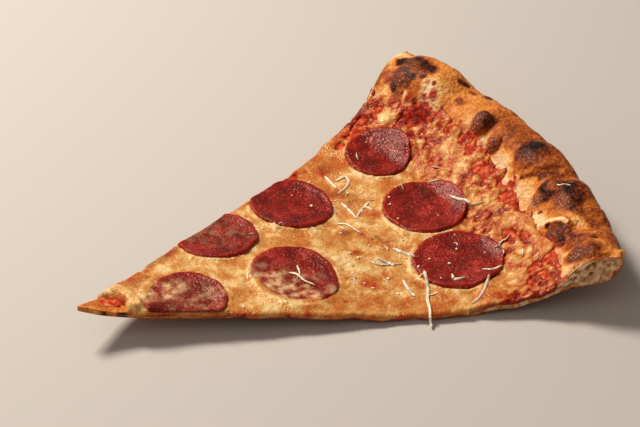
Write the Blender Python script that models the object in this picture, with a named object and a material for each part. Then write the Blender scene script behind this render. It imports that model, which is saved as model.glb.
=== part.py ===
"""A slice of pepperoni pizza: one eighth of an 18 inch round, with its crust, sauce, cheese and sausage.

Sizes are in millimetres and angles in degrees; place() turns them into metres. The slice is described
from its tip: a radius along it, an angle from its middle line (negative towards the -Y cut) and a height
above its underside. The whole slice sags as it did where it was served: it rests on the flat stretch
round the origin, its tip and its crust lifted.

Frame: +X from the tip to the crust along the middle line, +Z up, origin on the flat stretch of the
underside, REST_RADIUS from the tip.
"""

import math

import bmesh
import bpy
from mathutils import Matrix, Vector, noise

MM = 0.001

# --- The whole slice -------------------------------------------------------------------------------
# The round isn't quite true: its radius grows by RADIUS_GROWTH for each degree towards the +Y cut.
PIZZA_RADIUS = 228.4
RADIUS_GROWTH = 0.17
SLICE_ANGLE = 46.7
TIP_RADIUS = 0.5
REST_RADIUS = 150.0
GAP = 0.3
TOLERANCE = 0.001
ANGLE_STEPS = 22
INNER_STEP = 11.5
OUTER_STEP = 4.4
OUTER_STEP_FROM = 162.0
INVERSE_ROUNDS = 8

# Height of the underside along the middle of the slice (radius, height), level where it rests.
SAG = (
    (0.0, 15.5),
    (12.0, 11.8),
    (30.0, 9.2),
    (70.0, 6.1),
    (105.0, 3.2),
    (136.0, 0.0),
    (177.0, 0.0),
    (191.0, 6.4),
    (204.0, 11.6),
    (216.0, 13.0),
    (234.0, 14.5),
)
# Towards its two cuts the slice starts to rise sooner: by this much at this radius.
CUT_LIFT = 2.6
CUT_LIFT_RADIUS = 176.0
CUT_LIFT_REACH = 13.0
CUT_LIFT_FROM_ANGLE = 10.0

# The foot of the rim swings out by this much at the middle line, and wavers by this much along it.
FOOT_SWELL = 5.0
FOOT_WAVE = 1.2
FOOT_REACH = 40.0
# The waver is two waves: (share, turns of phase for each degree round the slice, phase at its middle).
FOOT_WAVES = (
    (1.0, 23.0, 0.0),
    (0.6, 51.0, 40.0),
)

# --- Dough -----------------------------------------------------------------------------------------
BASE_THICKNESS = 1.7
BASE_GROWTH = 1.3
BASE_GROWTH_FROM = 110.0
RIM_INNER = 193.0
RIM_CREST = 214.0
RIM_HEIGHT = 14.0
RIM_BULGE_HEIGHT = 6.0
RIM_FLAT_END = 214.0
RIM_SECTION_POWER = 2.4
# Turns, from under the rim (-90) to its crest (90), of the points on its rounded outside.
RIM_SECTION_TURNS = range(-72, 90, 18)

# Baked bubbles in the rim: (angle, radius of the centre, half width, rise).
BLISTERS = (
    (17.5, 210.0, 18.0, 4.4),
    (6.4, 210.0, 6.5, 3.0),
    (2.9, 206.5, 4.0, 1.5),
    (-4.2, 214.0, 13.0, 2.6),
    (-11.0, 211.0, 11.0, 2.4),
    (-15.8, 203.0, 7.0, 2.0),
    (-20.6, 212.0, 10.0, 1.2),
)
# Folds where the rim is pinched in: (angle, half width in degrees, depth).
FOLDS = (
    (11.5, 4.0, 1.6),
    (-7.6, 2.2, 1.6),
    (-16.9, 2.2, 2.4),
)

# --- Sauce and cheese --------------------------------------------------------------------------------
SAUCE_OUTER = 198.0
SAUCE_THICKNESS = 0.5
CHEESE_OUTER = 187.0
CHEESE_THICKNESS = 1.0
CHEESE_LUMP = 0.2
CHEESE_LUMP_LENGTH = 16.0

# --- Pepperoni: (distance along the middle line, distance across it, half width, half depth) -----------
PEPPERONI = (
    (43.5, -10.0, 17.5, 16.5),
    (76.0, 25.0, 17.6, 16.6),
    (117.2, 33.8, 17.8, 18.4),
    (92.8, -13.8, 17.4, 19.6),
    (170.0, 47.6, 14.4, 15.0),
    (167.8, 4.4, 18.0, 18.2),
    (160.0, -35.0, 19.2, 18.8),
)
PEPPERONI_THICKNESS = 1.3
PEPPERONI_CUP = 0.5
PEPPERONI_SIDES = 24
PEPPERONI_RINGS = 4

SHARP_ANGLE = 40.0


# --- Helpers of form ---------------------------------------------------------------------------------
def smooth_step(x, low, high):
    """0 below low, 1 above high, and a smooth ramp between them."""
    t = min(max((x - low) / (high - low), 0.0), 1.0)
    return t * t * (3.0 - 2.0 * t)


def curve_at(stations, x):
    """Height of a smooth curve through the stations that never swings past them."""
    slopes = [
        (b[1] - a[1]) / (b[0] - a[0]) for a, b in zip(stations, stations[1:])
    ]
    tangents = [slopes[0]]
    for before, after in zip(slopes, slopes[1:]):
        same_way = before * after > 0.0
        tangents.append(2.0 * before * after / (before + after) if same_way else 0.0)
    tangents.append(slopes[-1])
    x = min(max(x, stations[0][0]), stations[-1][0])
    i = next(k for k in range(len(slopes)) if x <= stations[k + 1][0])
    width = stations[i + 1][0] - stations[i][0]
    t = (x - stations[i][0]) / width
    return (
        (2 * t**3 - 3 * t**2 + 1) * stations[i][1]
        + (t**3 - 2 * t**2 + t) * width * tangents[i]
        + (3 * t**2 - 2 * t**3) * stations[i + 1][1]
        + (t**3 - t**2) * width * tangents[i + 1]
    )


def even_steps(start, end, step):
    """Values from start up to, but without, end, in equal steps as near as can be to step."""
    count = round((end - start) / step)
    return [start + (end - start) * i / count for i in range(count)]


def levels(outer):
    """The radii that every layer shares, from the tip out to the last one within outer."""
    base = even_steps(TIP_RADIUS, OUTER_STEP_FROM, INNER_STEP)
    base += even_steps(OUTER_STEP_FROM, RIM_INNER, OUTER_STEP)
    rim = even_steps(RIM_INNER, RIM_CREST, OUTER_STEP)
    return [radius for radius in base + rim + [RIM_CREST] if radius <= outer]


def true_radius(radius, angle):
    """Distance from the tip of a point at a level's radius: levels waver along the foot of the rim."""
    swell = FOOT_SWELL * math.cos(math.radians(90.0 * angle / (SLICE_ANGLE / 2.0)))
    wave = sum(
        share * math.sin(math.radians(angle * rate + phase)) for share, rate, phase in FOOT_WAVES
    )
    near_foot = smooth_step(radius, RIM_INNER - FOOT_REACH, RIM_INNER)
    near_foot *= 1.0 - smooth_step(radius, RIM_INNER, RIM_CREST)
    rim_share = max(0.0, radius - RIM_INNER) / (PIZZA_RADIUS - RIM_INNER)
    return radius + (swell + FOOT_WAVE * wave) * near_foot + RADIUS_GROWTH * angle * rim_share


def level_radius(radius, angle):
    """The level's radius at a distance from the tip: the inverse of true_radius()."""
    level = radius
    for _ in range(INVERSE_ROUNDS):
        level += radius - true_radius(level, angle)
    return level


def underside(radius, angle):
    """Height of the slice's underside above the level that it rests on."""
    near_cut = smooth_step(abs(angle), CUT_LIFT_FROM_ANGLE, SLICE_ANGLE / 2.0)
    away = (radius - CUT_LIFT_RADIUS) / CUT_LIFT_REACH
    return curve_at(SAG, radius) + CUT_LIFT * near_cut * max(0.0, 1.0 - away * away)


def place(radius, angle, height):
    """Turn a level's radius, angle and height above the underside into a point in the part's frame."""
    distance = true_radius(radius, angle)
    turn = math.radians(angle)
    return Vector(
        (
            (distance * math.cos(turn) - REST_RADIUS) * MM,
            distance * math.sin(turn) * MM,
            (underside(distance, angle) + height) * MM,
        )
    )


def blister_rise(radius, angle):
    """How far the baked bubbles lift the rim at a point."""
    rise = 0.0
    distance = true_radius(radius, angle)
    for centre_angle, centre_radius, half_width, height in BLISTERS:
        across = math.radians(angle - centre_angle) * distance
        away = math.hypot(across, distance - centre_radius) / half_width
        rise = max(rise, height * max(0.0, 1.0 - away * away))
    return rise


def fold_depth(angle):
    """How far the folds lower the rim at an angle."""
    return sum(
        depth * max(0.0, 1.0 - abs(angle - centre) / half_width)
        for centre, half_width, depth in FOLDS
    )


def base_top(radius):
    """Height of the base's top above the underside: it is thinnest at the tip."""
    return BASE_THICKNESS + BASE_GROWTH * smooth_step(radius, BASE_GROWTH_FROM, RIM_INNER)


def dough_top(radius, angle):
    """Height of the dough's top above the underside, out to the crest of the rim."""
    base = base_top(radius)
    rim = RIM_HEIGHT - fold_depth(angle) + blister_rise(radius, angle)
    return base + (rim - base) * smooth_step(radius, RIM_INNER, RIM_CREST)


def sauce_top(radius, angle):
    """Height of the sauce's top above the underside."""
    return dough_top(radius, angle) + GAP + SAUCE_THICKNESS


def cheese_top(radius, angle):
    """Height of the cheese's uneven top above the underside."""
    spot = place(radius, angle, 0.0) / (CHEESE_LUMP_LENGTH * MM)
    lump = CHEESE_LUMP * noise.noise(Vector((spot.x, spot.y, 0.0)))
    return sauce_top(radius, angle) + GAP + CHEESE_THICKNESS + lump


# --- Swept layers --------------------------------------------------------------------------------------
def sweep(section, shape):
    """Spin a closed section through the slice's angle about the tip, then shape each of its points.

    The section is a list of (radius, height) points; shape(radius, angle, height) gives a point's place.
    """
    bm = bmesh.new()
    corners = [bm.verts.new((radius, 0.0, height)) for radius, height in section]
    face = bm.faces.new(corners)
    half = math.radians(SLICE_ANGLE / 2.0)
    bmesh.ops.rotate(bm, verts=corners, cent=(0, 0, 0), matrix=Matrix.Rotation(-half, 3, "Z"))
    bmesh.ops.spin(
        bm,
        geom=corners + list(face.edges) + [face],
        cent=(0, 0, 0),
        axis=(0, 0, 1),
        angle=2.0 * half,
        steps=ANGLE_STEPS,
    )
    tip = [vert for vert in bm.verts if math.hypot(vert.co.x, vert.co.y) < 2.0 * TIP_RADIUS]
    bmesh.ops.remove_doubles(bm, verts=tip, dist=TIP_RADIUS)
    for vert in bm.verts:
        radius = math.hypot(vert.co.x, vert.co.y)
        angle = math.degrees(math.atan2(vert.co.y, vert.co.x))
        vert.co = shape(radius, angle, vert.co.z)
    bmesh.ops.recalc_face_normals(bm, faces=bm.faces)
    return bm


def dough():
    """The base and its raised rim, baked in one piece."""
    inside = levels(RIM_CREST)
    reach = PIZZA_RADIUS - RIM_FLAT_END
    power = 2.0 / RIM_SECTION_POWER

    def outer_arc(turn):
        """A point on the rim's rounded outside, from under it (-90) to its crest (90)."""
        out = RIM_FLAT_END + reach * abs(math.cos(math.radians(turn))) ** power
        half = RIM_BULGE_HEIGHT if turn < 0 else RIM_HEIGHT - RIM_BULGE_HEIGHT
        lean = abs(math.sin(math.radians(turn))) ** power
        return out, RIM_BULGE_HEIGHT + math.copysign(half * lean, turn)

    section = [(radius, 0.0) for radius in inside]
    section += [outer_arc(turn) for turn in RIM_SECTION_TURNS]
    section += [(radius, BASE_THICKNESS) for radius in reversed(inside)]

    def shape(radius, angle, height):
        """Leave the underside level, and raise the rim, its bubbles and its folds."""
        if height == 0.0:
            return place(radius, angle, 0.0)
        if radius <= RIM_CREST + TOLERANCE:
            return place(radius, angle, dough_top(radius, angle))
        upper = smooth_step(height, RIM_BULGE_HEIGHT * 0.5, RIM_HEIGHT)
        change = blister_rise(radius, angle) - fold_depth(angle)
        return place(radius, angle, height + change * upper)

    return sweep(section, shape)


def layer(outer, lower, upper):
    """A thin layer between two surfaces, from the tip out to its last level."""
    radii = levels(outer)
    below, above = 0.0, 1.0
    section = [(radius, below) for radius in radii] + [(radius, above) for radius in reversed(radii)]

    def shape(radius, angle, height):
        """Put the lower face on lower() and the upper face on upper()."""
        surface = upper if height == above else lower
        return place(radius, angle, surface(radius, angle))

    return sweep(section, shape)


def sauce():
    """The sauce, which shows at the cuts and in a band inside the rim."""
    return layer(SAUCE_OUTER, lambda r, a: dough_top(r, a) + GAP, sauce_top)


def cheese():
    """The melted cheese on the sauce."""
    return layer(CHEESE_OUTER, lambda r, a: sauce_top(r, a) + GAP, cheese_top)


# --- Pepperoni -----------------------------------------------------------------------------------------
def pepperoni(along, across, half_width, half_depth):
    """A cupped round of sausage that lies on the cheese, cut where it meets the side of the slice."""
    bm = bmesh.new()
    radii = [i / PEPPERONI_RINGS for i in range(PEPPERONI_RINGS + 1)]
    outline = [bm.verts.new((radius, 0.0, 0.0)) for radius in radii]
    outline += [bm.verts.new((radius, 0.0, 1.0)) for radius in reversed(radii)]
    edges = [bm.edges.new(pair) for pair in zip(outline, outline[1:])]
    bmesh.ops.spin(
        bm,
        geom=outline + edges,
        cent=(0, 0, 0),
        axis=(0, 0, 1),
        angle=2.0 * math.pi,
        steps=PEPPERONI_SIDES,
        use_merge=True,
    )
    bmesh.ops.remove_doubles(bm, verts=bm.verts, dist=TOLERANCE)
    for vert in bm.verts:
        vert.co.x = along + vert.co.x * half_width
        vert.co.y = across + vert.co.y * half_depth
    for side in (-1.0, 1.0):
        turn = side * math.radians(SLICE_ANGLE / 2.0)
        cut_off = Vector((-math.sin(turn) * side, math.cos(turn) * side, 0.0))
        everything = list(bm.verts) + list(bm.edges) + list(bm.faces)
        bmesh.ops.bisect_plane(
            bm, geom=everything, dist=TOLERANCE, plane_co=(0, 0, 0), plane_no=cut_off, clear_outer=True
        )
        rim = [edge for edge in bm.edges if edge.is_boundary]
        if rim:
            bmesh.ops.edgeloop_fill(bm, edges=rim)
    for vert in bm.verts:
        angle = math.degrees(math.atan2(vert.co.y, vert.co.x))
        radius = level_radius(math.hypot(vert.co.x, vert.co.y), angle)
        out = math.hypot((vert.co.x - along) / half_width, (vert.co.y - across) / half_depth)
        lift = GAP + PEPPERONI_THICKNESS * vert.co.z + PEPPERONI_CUP * out**4
        vert.co = place(radius, angle, cheese_top(radius, angle) + lift)
    bmesh.ops.recalc_face_normals(bm, faces=bm.faces)
    return bm


# --- Objects and materials -------------------------------------------------------------------------------
def food_material(name, colour, roughness):
    """A Principled material in one colour."""
    material = bpy.data.materials.new(name)
    material.use_nodes = True
    shader = material.node_tree.nodes["Principled BSDF"]
    shader.inputs["Base Color"].default_value = (*colour, 1.0)
    shader.inputs["Roughness"].default_value = roughness
    shader.inputs["Metallic"].default_value = 0.0
    material.diffuse_color = (*colour, 1.0)
    return material


def add_object(name, bm, material, collection):
    """Make a named, smooth-shaded object of a bmesh."""
    mesh = bpy.data.meshes.new(name)
    bm.to_mesh(mesh)
    bm.free()
    mesh.materials.append(material)
    mesh.shade_smooth()
    mesh.set_sharp_from_angle(angle=math.radians(SHARP_ANGLE))
    collection.objects.link(bpy.data.objects.new(name, mesh))


def main():
    """Clear the scene and build the slice."""
    for old in list(bpy.data.objects):
        bpy.data.objects.remove(old, do_unlink=True)
    slice_collection = bpy.data.collections.new("pepperoni_pizza_slice")
    bpy.context.scene.collection.children.link(slice_collection)
    add_object("dough", dough(), food_material("baked_dough", (0.55, 0.27, 0.10), 0.7), slice_collection)
    add_object("sauce", sauce(), food_material("tomato_sauce", (0.45, 0.06, 0.03), 0.35), slice_collection)
    add_object("cheese", cheese(), food_material("melted_cheese", (0.68, 0.36, 0.11), 0.4), slice_collection)
    sausage = food_material("pepperoni_sausage", (0.28, 0.03, 0.02), 0.3)
    for number, sizes in enumerate(PEPPERONI, start=1):
        add_object(f"pepperoni_{number}", pepperoni(*sizes), sausage, slice_collection)


main()
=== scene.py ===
"""Looks of one large slice of pepperoni pizza, laid on a pale floor.

Lengths are in millimetres and angles in degrees until a piece is finished, when it is turned into metres.
A place on the slice is given by u, how far it is from the tip along the middle line, v, how far it is from
that line towards the far cut, and a height above the dough's underside. The slice is also a wedge of a
round, so the forms work with a level (a radius that follows the wavering foot of the rim) and an angle.
"""

import logging
import math
from collections.abc import Sequence
from dataclasses import dataclass, field
from enum import Enum

import bmesh
import bpy
import numpy as np
from mathutils import Matrix, Vector, noise
from mathutils.bvhtree import BVHTree


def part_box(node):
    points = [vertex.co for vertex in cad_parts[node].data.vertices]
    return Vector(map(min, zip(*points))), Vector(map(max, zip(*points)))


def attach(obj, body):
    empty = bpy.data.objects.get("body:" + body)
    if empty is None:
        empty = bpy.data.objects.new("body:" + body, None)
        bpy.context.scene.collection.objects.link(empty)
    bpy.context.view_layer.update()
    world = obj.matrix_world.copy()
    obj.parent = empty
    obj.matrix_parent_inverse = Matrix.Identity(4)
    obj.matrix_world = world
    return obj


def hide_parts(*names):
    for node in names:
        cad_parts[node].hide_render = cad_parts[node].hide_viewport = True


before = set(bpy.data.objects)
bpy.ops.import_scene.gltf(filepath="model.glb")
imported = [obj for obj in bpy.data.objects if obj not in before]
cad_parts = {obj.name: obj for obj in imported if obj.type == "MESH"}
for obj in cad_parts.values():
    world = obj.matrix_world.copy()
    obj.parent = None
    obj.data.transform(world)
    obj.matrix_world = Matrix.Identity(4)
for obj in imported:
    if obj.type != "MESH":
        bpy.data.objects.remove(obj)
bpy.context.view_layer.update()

log = logging.getLogger("pizza_slice")

MM = 0.001
BODY = "root"

# Where a colour Mix node takes its two colours and gives its result.
MIX_FACTOR, MIX_A, MIX_B, MIX_RESULT = 0, 6, 7, 2

Stations = tuple[tuple[float, float], ...]
Attributes = dict[str, np.ndarray]


class Pattern(Enum):
    """Kinds of natural unevenness that a surface can take."""

    CLOUDS = "clouds"
    CELLS = "cells"
    CRACKS = "cracks"


def smooth_step(x: np.ndarray, low: float, high: float) -> np.ndarray:
    """Ramps smoothly from 0 to 1.

    Args:
        x: Values to ramp.
        low: Where the ramp leaves 0.
        high: Where it reaches 1.

    Returns:
        The ramp at each value.
    """
    t = np.clip((x - low) / (high - low), 0.0, 1.0)
    return t * t * (3.0 - 2.0 * t)


def curve_through(stations: Stations, x: np.ndarray) -> np.ndarray:
    """Reads a smooth curve that passes through its stations and never swings past them.

    Args:
        stations: (place, height) pairs in order.
        x: Places to read.

    Returns:
        The height at each place.
    """
    at, high = np.array(stations).T
    slopes = np.diff(high) / np.diff(at)
    tangents = np.zeros(len(at))
    tangents[0], tangents[-1] = slopes[0], slopes[-1]
    product = slopes[:-1] * slopes[1:]
    total = slopes[:-1] + slopes[1:]
    same_way = product > 0.0
    tangents[1:-1][same_way] = 2.0 * product[same_way] / total[same_way]
    x = np.clip(x, at[0], at[-1])
    i = np.clip(np.searchsorted(at, x) - 1, 0, len(slopes) - 1)
    width = at[i + 1] - at[i]
    t = (x - at[i]) / width
    return (
        (2 * t**3 - 3 * t**2 + 1) * high[i]
        + (t**3 - 2 * t**2 + t) * width * tangents[i]
        + (3 * t**2 - 2 * t**3) * high[i + 1]
        + (t**3 - t**2) * width * tangents[i + 1]
    )


def unevenness(
    kind: Pattern, points: np.ndarray, size: float, seed: int = 0, octaves: int = 3
) -> np.ndarray:
    """Reads a natural pattern at points.

    Args:
        kind: Which pattern.
        points: Places, one row of two or three lengths each.
        size: Size of the pattern's largest features, in the points' unit.
        seed: Picks one of many such patterns.
        octaves: How many finer layers clouds have.

    Returns:
        About -1 to 1 for clouds, the distance to the nearest centre for cells and the distance to the
        nearest border for cracks, both in sizes.
    """
    if points.shape[1] == 2:
        points = np.column_stack([points, np.zeros(len(points))])
    shifted = points / size + np.array([17.3, 41.9, 7.7]) * (seed + 1)
    if kind is Pattern.CLOUDS:
        return np.array([noise.fractal(Vector(p), 1.0, 2.0, octaves) for p in shifted])
    near = np.array([noise.voronoi(Vector(p))[0][:2] for p in shifted])
    return near[:, 0] if kind is Pattern.CELLS else near[:, 1] - near[:, 0]


@dataclass(frozen=True)
class Patch:
    """An oval region of the slice's top.

    Attributes:
        u: Distance of its centre from the tip along the middle line.
        v: Distance of its centre from the middle line.
        length: Half its length.
        width: Half its width.
        turn: Angle of its length from the middle line.
        value: What the region sets a field to.
        edge: Share of its size over which it fades.
    """

    u: float
    v: float
    length: float
    width: float
    turn: float = 0.0
    value: float = 1.0
    edge: float = 0.35

    def away(self, u: np.ndarray, v: np.ndarray) -> np.ndarray:
        """Distance from the centre as a share of the oval's size."""
        turn = math.radians(self.turn)
        along = (u - self.u) * math.cos(turn) + (v - self.v) * math.sin(turn)
        across = (v - self.v) * math.cos(turn) - (u - self.u) * math.sin(turn)
        return np.hypot(along / self.length, across / self.width)

    def cover(self, u: np.ndarray, v: np.ndarray, ragged: np.ndarray | float = 0.0) -> np.ndarray:
        """How much of each point lies in the region.

        Args:
            u: Distances from the tip.
            v: Distances from the middle line.
            ragged: Unevenness of the outline, as a share of its size.

        Returns:
            1 well inside and 0 well outside.
        """
        return 1.0 - smooth_step(self.away(u, v) + ragged, 1.0 - self.edge, 1.0 + self.edge)

    def dome(self, u: np.ndarray, v: np.ndarray) -> np.ndarray:
        """A round-topped rise over the oval, as high as its value, steep at its foot if it is small."""
        steep = 0.6 if self.length < 6.0 else 1.0
        return self.value * np.maximum(0.0, 1.0 - self.away(u, v) ** 2) ** steep


@dataclass(frozen=True)
class Streak:
    """A line with a width on the slice's top.

    Attributes:
        points: (u, v) places that it runs through.
        width: Half its width.
        value: What it sets a field to.
    """

    points: tuple[tuple[float, float], ...]
    width: float
    value: float = 1.0

    def away(self, u: np.ndarray, v: np.ndarray) -> np.ndarray:
        """Distance from the line as a share of its width."""
        nearest = np.full(len(u), np.inf)
        for (u0, v0), (u1, v1) in zip(self.points, self.points[1:]):
            length = math.hypot(u1 - u0, v1 - v0)
            t = ((u - u0) * (u1 - u0) + (v - v0) * (v1 - v0)) / length**2
            t = np.clip(t, 0.0, 1.0)
            gap = np.hypot(u - u0 - t * (u1 - u0), v - v0 - t * (v1 - v0))
            nearest = np.minimum(nearest, gap)
        return nearest / self.width

    def cover(self, u: np.ndarray, v: np.ndarray, ragged: np.ndarray | float = 0.0) -> np.ndarray:
        """1 on the line and 0 away from it, as for a patch."""
        return 1.0 - smooth_step(self.away(u, v) + ragged, 0.4, 1.3)


def painted(
    base: np.ndarray,
    regions: Sequence[Patch | Streak],
    u: np.ndarray,
    v: np.ndarray,
    ragged: np.ndarray | float = 0.0,
) -> np.ndarray:
    """Lays regions over a field, one after another.

    Args:
        base: The field before.
        regions: What is laid over it, each with its value.
        u: Distances from the tip.
        v: Distances from the middle line.
        ragged: Unevenness of the outlines.

    Returns:
        The field after.
    """
    result = np.array(base, float)
    for region in regions:
        result += (region.value - result) * region.cover(u, v, ragged)
    return result


# --- Form of the whole slice -------------------------------------------------------------------------
@dataclass(frozen=True)
class Blister:
    """A baked bubble in the rim: its angle, radius, half width, rise and how steep its side is."""

    angle: float
    radius: float
    half_width: float
    rise: float
    power: float = 1.0


@dataclass(frozen=True)
class SliceForm:
    """The slice's wedge, sag and rim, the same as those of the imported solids.

    Attributes:
        radius: Length from tip to crust on the middle line.
        growth: How much longer it is for each degree towards the far cut.
        angle: Angle between the two cuts.
        sag: Height of the underside along the slice.
    """

    radius: float = 228.4
    growth: float = 0.17
    angle: float = 46.7
    tip_radius: float = 0.5
    rest_radius: float = 150.0
    sag: Stations = (
        (0.0, 15.5),
        (12.0, 11.8),
        (30.0, 9.2),
        (70.0, 6.1),
        (105.0, 3.2),
        (136.0, 0.0),
        (177.0, 0.0),
        (191.0, 6.4),
        (204.0, 11.6),
        (216.0, 13.0),
        (234.0, 14.5),
    )
    cut_lift: float = 2.6
    cut_lift_radius: float = 176.0
    cut_lift_reach: float = 13.0
    cut_lift_from: float = 10.0
    foot_swell: float = 5.0
    foot_wave: float = 1.2
    foot_reach: float = 40.0
    base_thickness: float = 1.7
    base_growth: float = 1.3
    base_growth_from: float = 110.0
    rim_inner: float = 193.0
    rim_crest: float = 214.0
    rim_height: float = 14.0
    rim_bulge: float = 6.0
    rim_power: float = 2.4
    blisters: tuple[Blister, ...] = (
        Blister(17.5, 210.0, 18.0, 4.4),
        Blister(6.4, 210.0, 6.3, 1.6, 0.8),
        Blister(2.9, 206.5, 4.0, 0.8, 0.8),
        Blister(-4.2, 214.0, 13.0, 2.6),
        Blister(-11.0, 211.0, 11.0, 2.4),
        Blister(-15.8, 203.0, 7.0, 2.0),
        Blister(-20.6, 212.0, 10.0, 1.2),
    )
    folds: Stations = ((11.5, 1.6), (-7.6, 1.6), (-16.9, 2.4))
    fold_widths: tuple[float, ...] = (4.0, 2.2, 2.2)

    @property
    def half_angle(self) -> float:
        """Angle from the middle line to a cut."""
        return self.angle / 2.0

    def distance(self, level: np.ndarray, angle: np.ndarray) -> np.ndarray:
        """Distance from the tip of points at a level.

        Args:
            level: Radii that follow the wavering foot of the rim.
            angle: Angles from the middle line.

        Returns:
            True distances from the tip.
        """
        swell = self.foot_swell * np.cos(np.radians(90.0 * angle / self.half_angle))
        wave = np.sin(np.radians(angle * 23.0)) + 0.6 * np.sin(np.radians(angle * 51.0 + 40.0))
        near_foot = smooth_step(level, self.rim_inner - self.foot_reach, self.rim_inner)
        near_foot *= 1.0 - smooth_step(level, self.rim_inner, self.rim_crest)
        share = np.maximum(0.0, level - self.rim_inner) / (self.radius - self.rim_inner)
        return level + (swell + self.foot_wave * wave) * near_foot + self.growth * angle * share

    def underside(self, distance: np.ndarray, angle: np.ndarray) -> np.ndarray:
        """Height of the underside above the floor.

        Args:
            distance: True distances from the tip.
            angle: Angles from the middle line.

        Returns:
            Heights.
        """
        near_cut = smooth_step(np.abs(angle), self.cut_lift_from, self.half_angle)
        away = (distance - self.cut_lift_radius) / self.cut_lift_reach
        lift = self.cut_lift * near_cut * np.maximum(0.0, 1.0 - away**2)
        return curve_through(self.sag, distance) + lift

    def base_top(self, level: np.ndarray) -> np.ndarray:
        """Thickness of the base, thinnest at the tip."""
        grown = smooth_step(level, self.base_growth_from, self.rim_inner)
        return self.base_thickness + self.base_growth * grown

    def rim_change(self, level: np.ndarray, angle: np.ndarray) -> np.ndarray:
        """How far blisters lift the rim and folds lower it.

        Args:
            level: Radii that follow the foot of the rim.
            angle: Angles from the middle line.

        Returns:
            Rises, negative in a fold.
        """
        distance = self.distance(level, angle)
        rise = np.zeros(len(level))
        for b in self.blisters:
            across = np.radians(angle - b.angle) * distance
            away = np.hypot(across, distance - b.radius) / b.half_width
            dome = np.maximum(0.0, 1.0 - away**2) ** b.power
            rise = np.maximum(rise, b.rise * dome)
        for (centre, depth), width in zip(self.folds, self.fold_widths):
            rise -= depth * np.maximum(0.0, 1.0 - np.abs(angle - centre) / width)
        return rise

    def dough_top(self, level: np.ndarray, angle: np.ndarray) -> np.ndarray:
        """Height of the dough's top above the underside, out to the crest.

        Args:
            level: Radii that follow the foot of the rim.
            angle: Angles from the middle line.

        Returns:
            Heights.
        """
        base = self.base_top(level)
        rim = self.rim_height + self.rim_change(level, angle)
        return base + (rim - base) * smooth_step(level, self.rim_inner, self.rim_crest)

    def plan(self, level: np.ndarray, angle: np.ndarray) -> tuple[np.ndarray, np.ndarray]:
        """The u and v of points at a level and an angle."""
        distance = self.distance(level, angle)
        return distance * np.cos(np.radians(angle)), distance * np.sin(np.radians(angle))

    def level_at(self, u: np.ndarray, v: np.ndarray) -> tuple[np.ndarray, np.ndarray]:
        """The level and angle of points in plan, found by stepping towards them.

        Args:
            u: Distances from the tip along the middle line.
            v: Distances from the middle line.

        Returns:
            Levels and angles.
        """
        angle = np.degrees(np.arctan2(v, u))
        distance = np.hypot(u, v)
        level = distance.copy()
        for _ in range(8):
            level += distance - self.distance(level, angle)
        return level, angle

    def place(self, level: np.ndarray, angle: np.ndarray, height: np.ndarray) -> np.ndarray:
        """Turns levels, angles and heights into places in the part's frame.

        Args:
            level: Radii that follow the foot of the rim.
            angle: Angles from the middle line.
            height: Heights above the underside.

        Returns:
            One row of x, y and z in millimetres for each point.
        """
        u, v = self.plan(level, angle)
        z = self.underside(np.hypot(u, v), angle) + height
        return np.column_stack([u - self.rest_radius, v, z])


# --- Mesh helpers --------------------------------------------------------------------------------------
def coordinates(bm: bmesh.types.BMesh) -> np.ndarray:
    """The places of a mesh's points, one row each."""
    return np.array([vert.co for vert in bm.verts], float).reshape(-1, 3)


def move_points(bm: bmesh.types.BMesh, places: np.ndarray) -> None:
    """Puts each point of a mesh at its row of places."""
    for vert, place in zip(bm.verts, places):
        vert.co = place
    bm.normal_update()


def push_out(bm: bmesh.types.BMesh, amount: np.ndarray) -> None:
    """Moves each point of a mesh along its normal by its own amount."""
    bm.normal_update()
    normals = np.array([vert.normal for vert in bm.verts], float)
    move_points(bm, coordinates(bm) + normals * amount[:, None])


def finish_piece(
    name: str,
    bm: bmesh.types.BMesh,
    material: bpy.types.Material,
    attributes: Attributes,
) -> bpy.types.Object:
    """Makes a smooth-shaded object of a mesh in millimetres and links it to the scene.

    Args:
        name: The piece's name.
        bm: Its mesh, which is used up.
        material: Its finish.
        attributes: A value for each of its points under each attribute's name.

    Returns:
        The object, with its place in its mesh.
    """
    bmesh.ops.scale(bm, vec=(MM, MM, MM), verts=bm.verts)
    mesh = bpy.data.meshes.new(name)
    bm.to_mesh(mesh)
    bm.free()
    for key, values in attributes.items():
        layer = mesh.attributes.new(key, "FLOAT", "POINT")
        layer.data.foreach_set("value", np.clip(values, 0.0, 1.0).astype(np.float32))
    mesh.materials.append(material)
    mesh.shade_smooth()
    piece = bpy.data.objects.new(name, mesh)
    bpy.context.scene.collection.objects.link(piece)
    mesh.calc_loop_triangles()
    log.info("%s: %d triangles", name, len(mesh.loop_triangles))
    return piece


def join_frame(piece: bpy.types.Object, slot: str, *nodes: str) -> None:
    """Lets a piece ride on the slice and stand for nodes, whose imported solids it hides."""
    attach(piece, BODY)
    if nodes:
        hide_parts(*nodes)


# --- Finishes --------------------------------------------------------------------------------------------
def linear(code: str) -> tuple[float, float, float, float]:
    """Turns an sRGB hex colour into a linear one.

    Args:
        code: Six hex digits after a hash.

    Returns:
        Linear red, green and blue, and an alpha of 1.
    """
    shares = [int(code[i : i + 2], 16) / 255.0 for i in (1, 3, 5)]
    parts = [s / 12.92 if s <= 0.04045 else ((s + 0.055) / 1.055) ** 2.4 for s in shares]
    return (parts[0], parts[1], parts[2], 1.0)


def per_metre(size_mm: float) -> float:
    """Texture scale that gives features of a real size on Object coordinates."""
    return 1.0 / (size_mm * MM)


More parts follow.
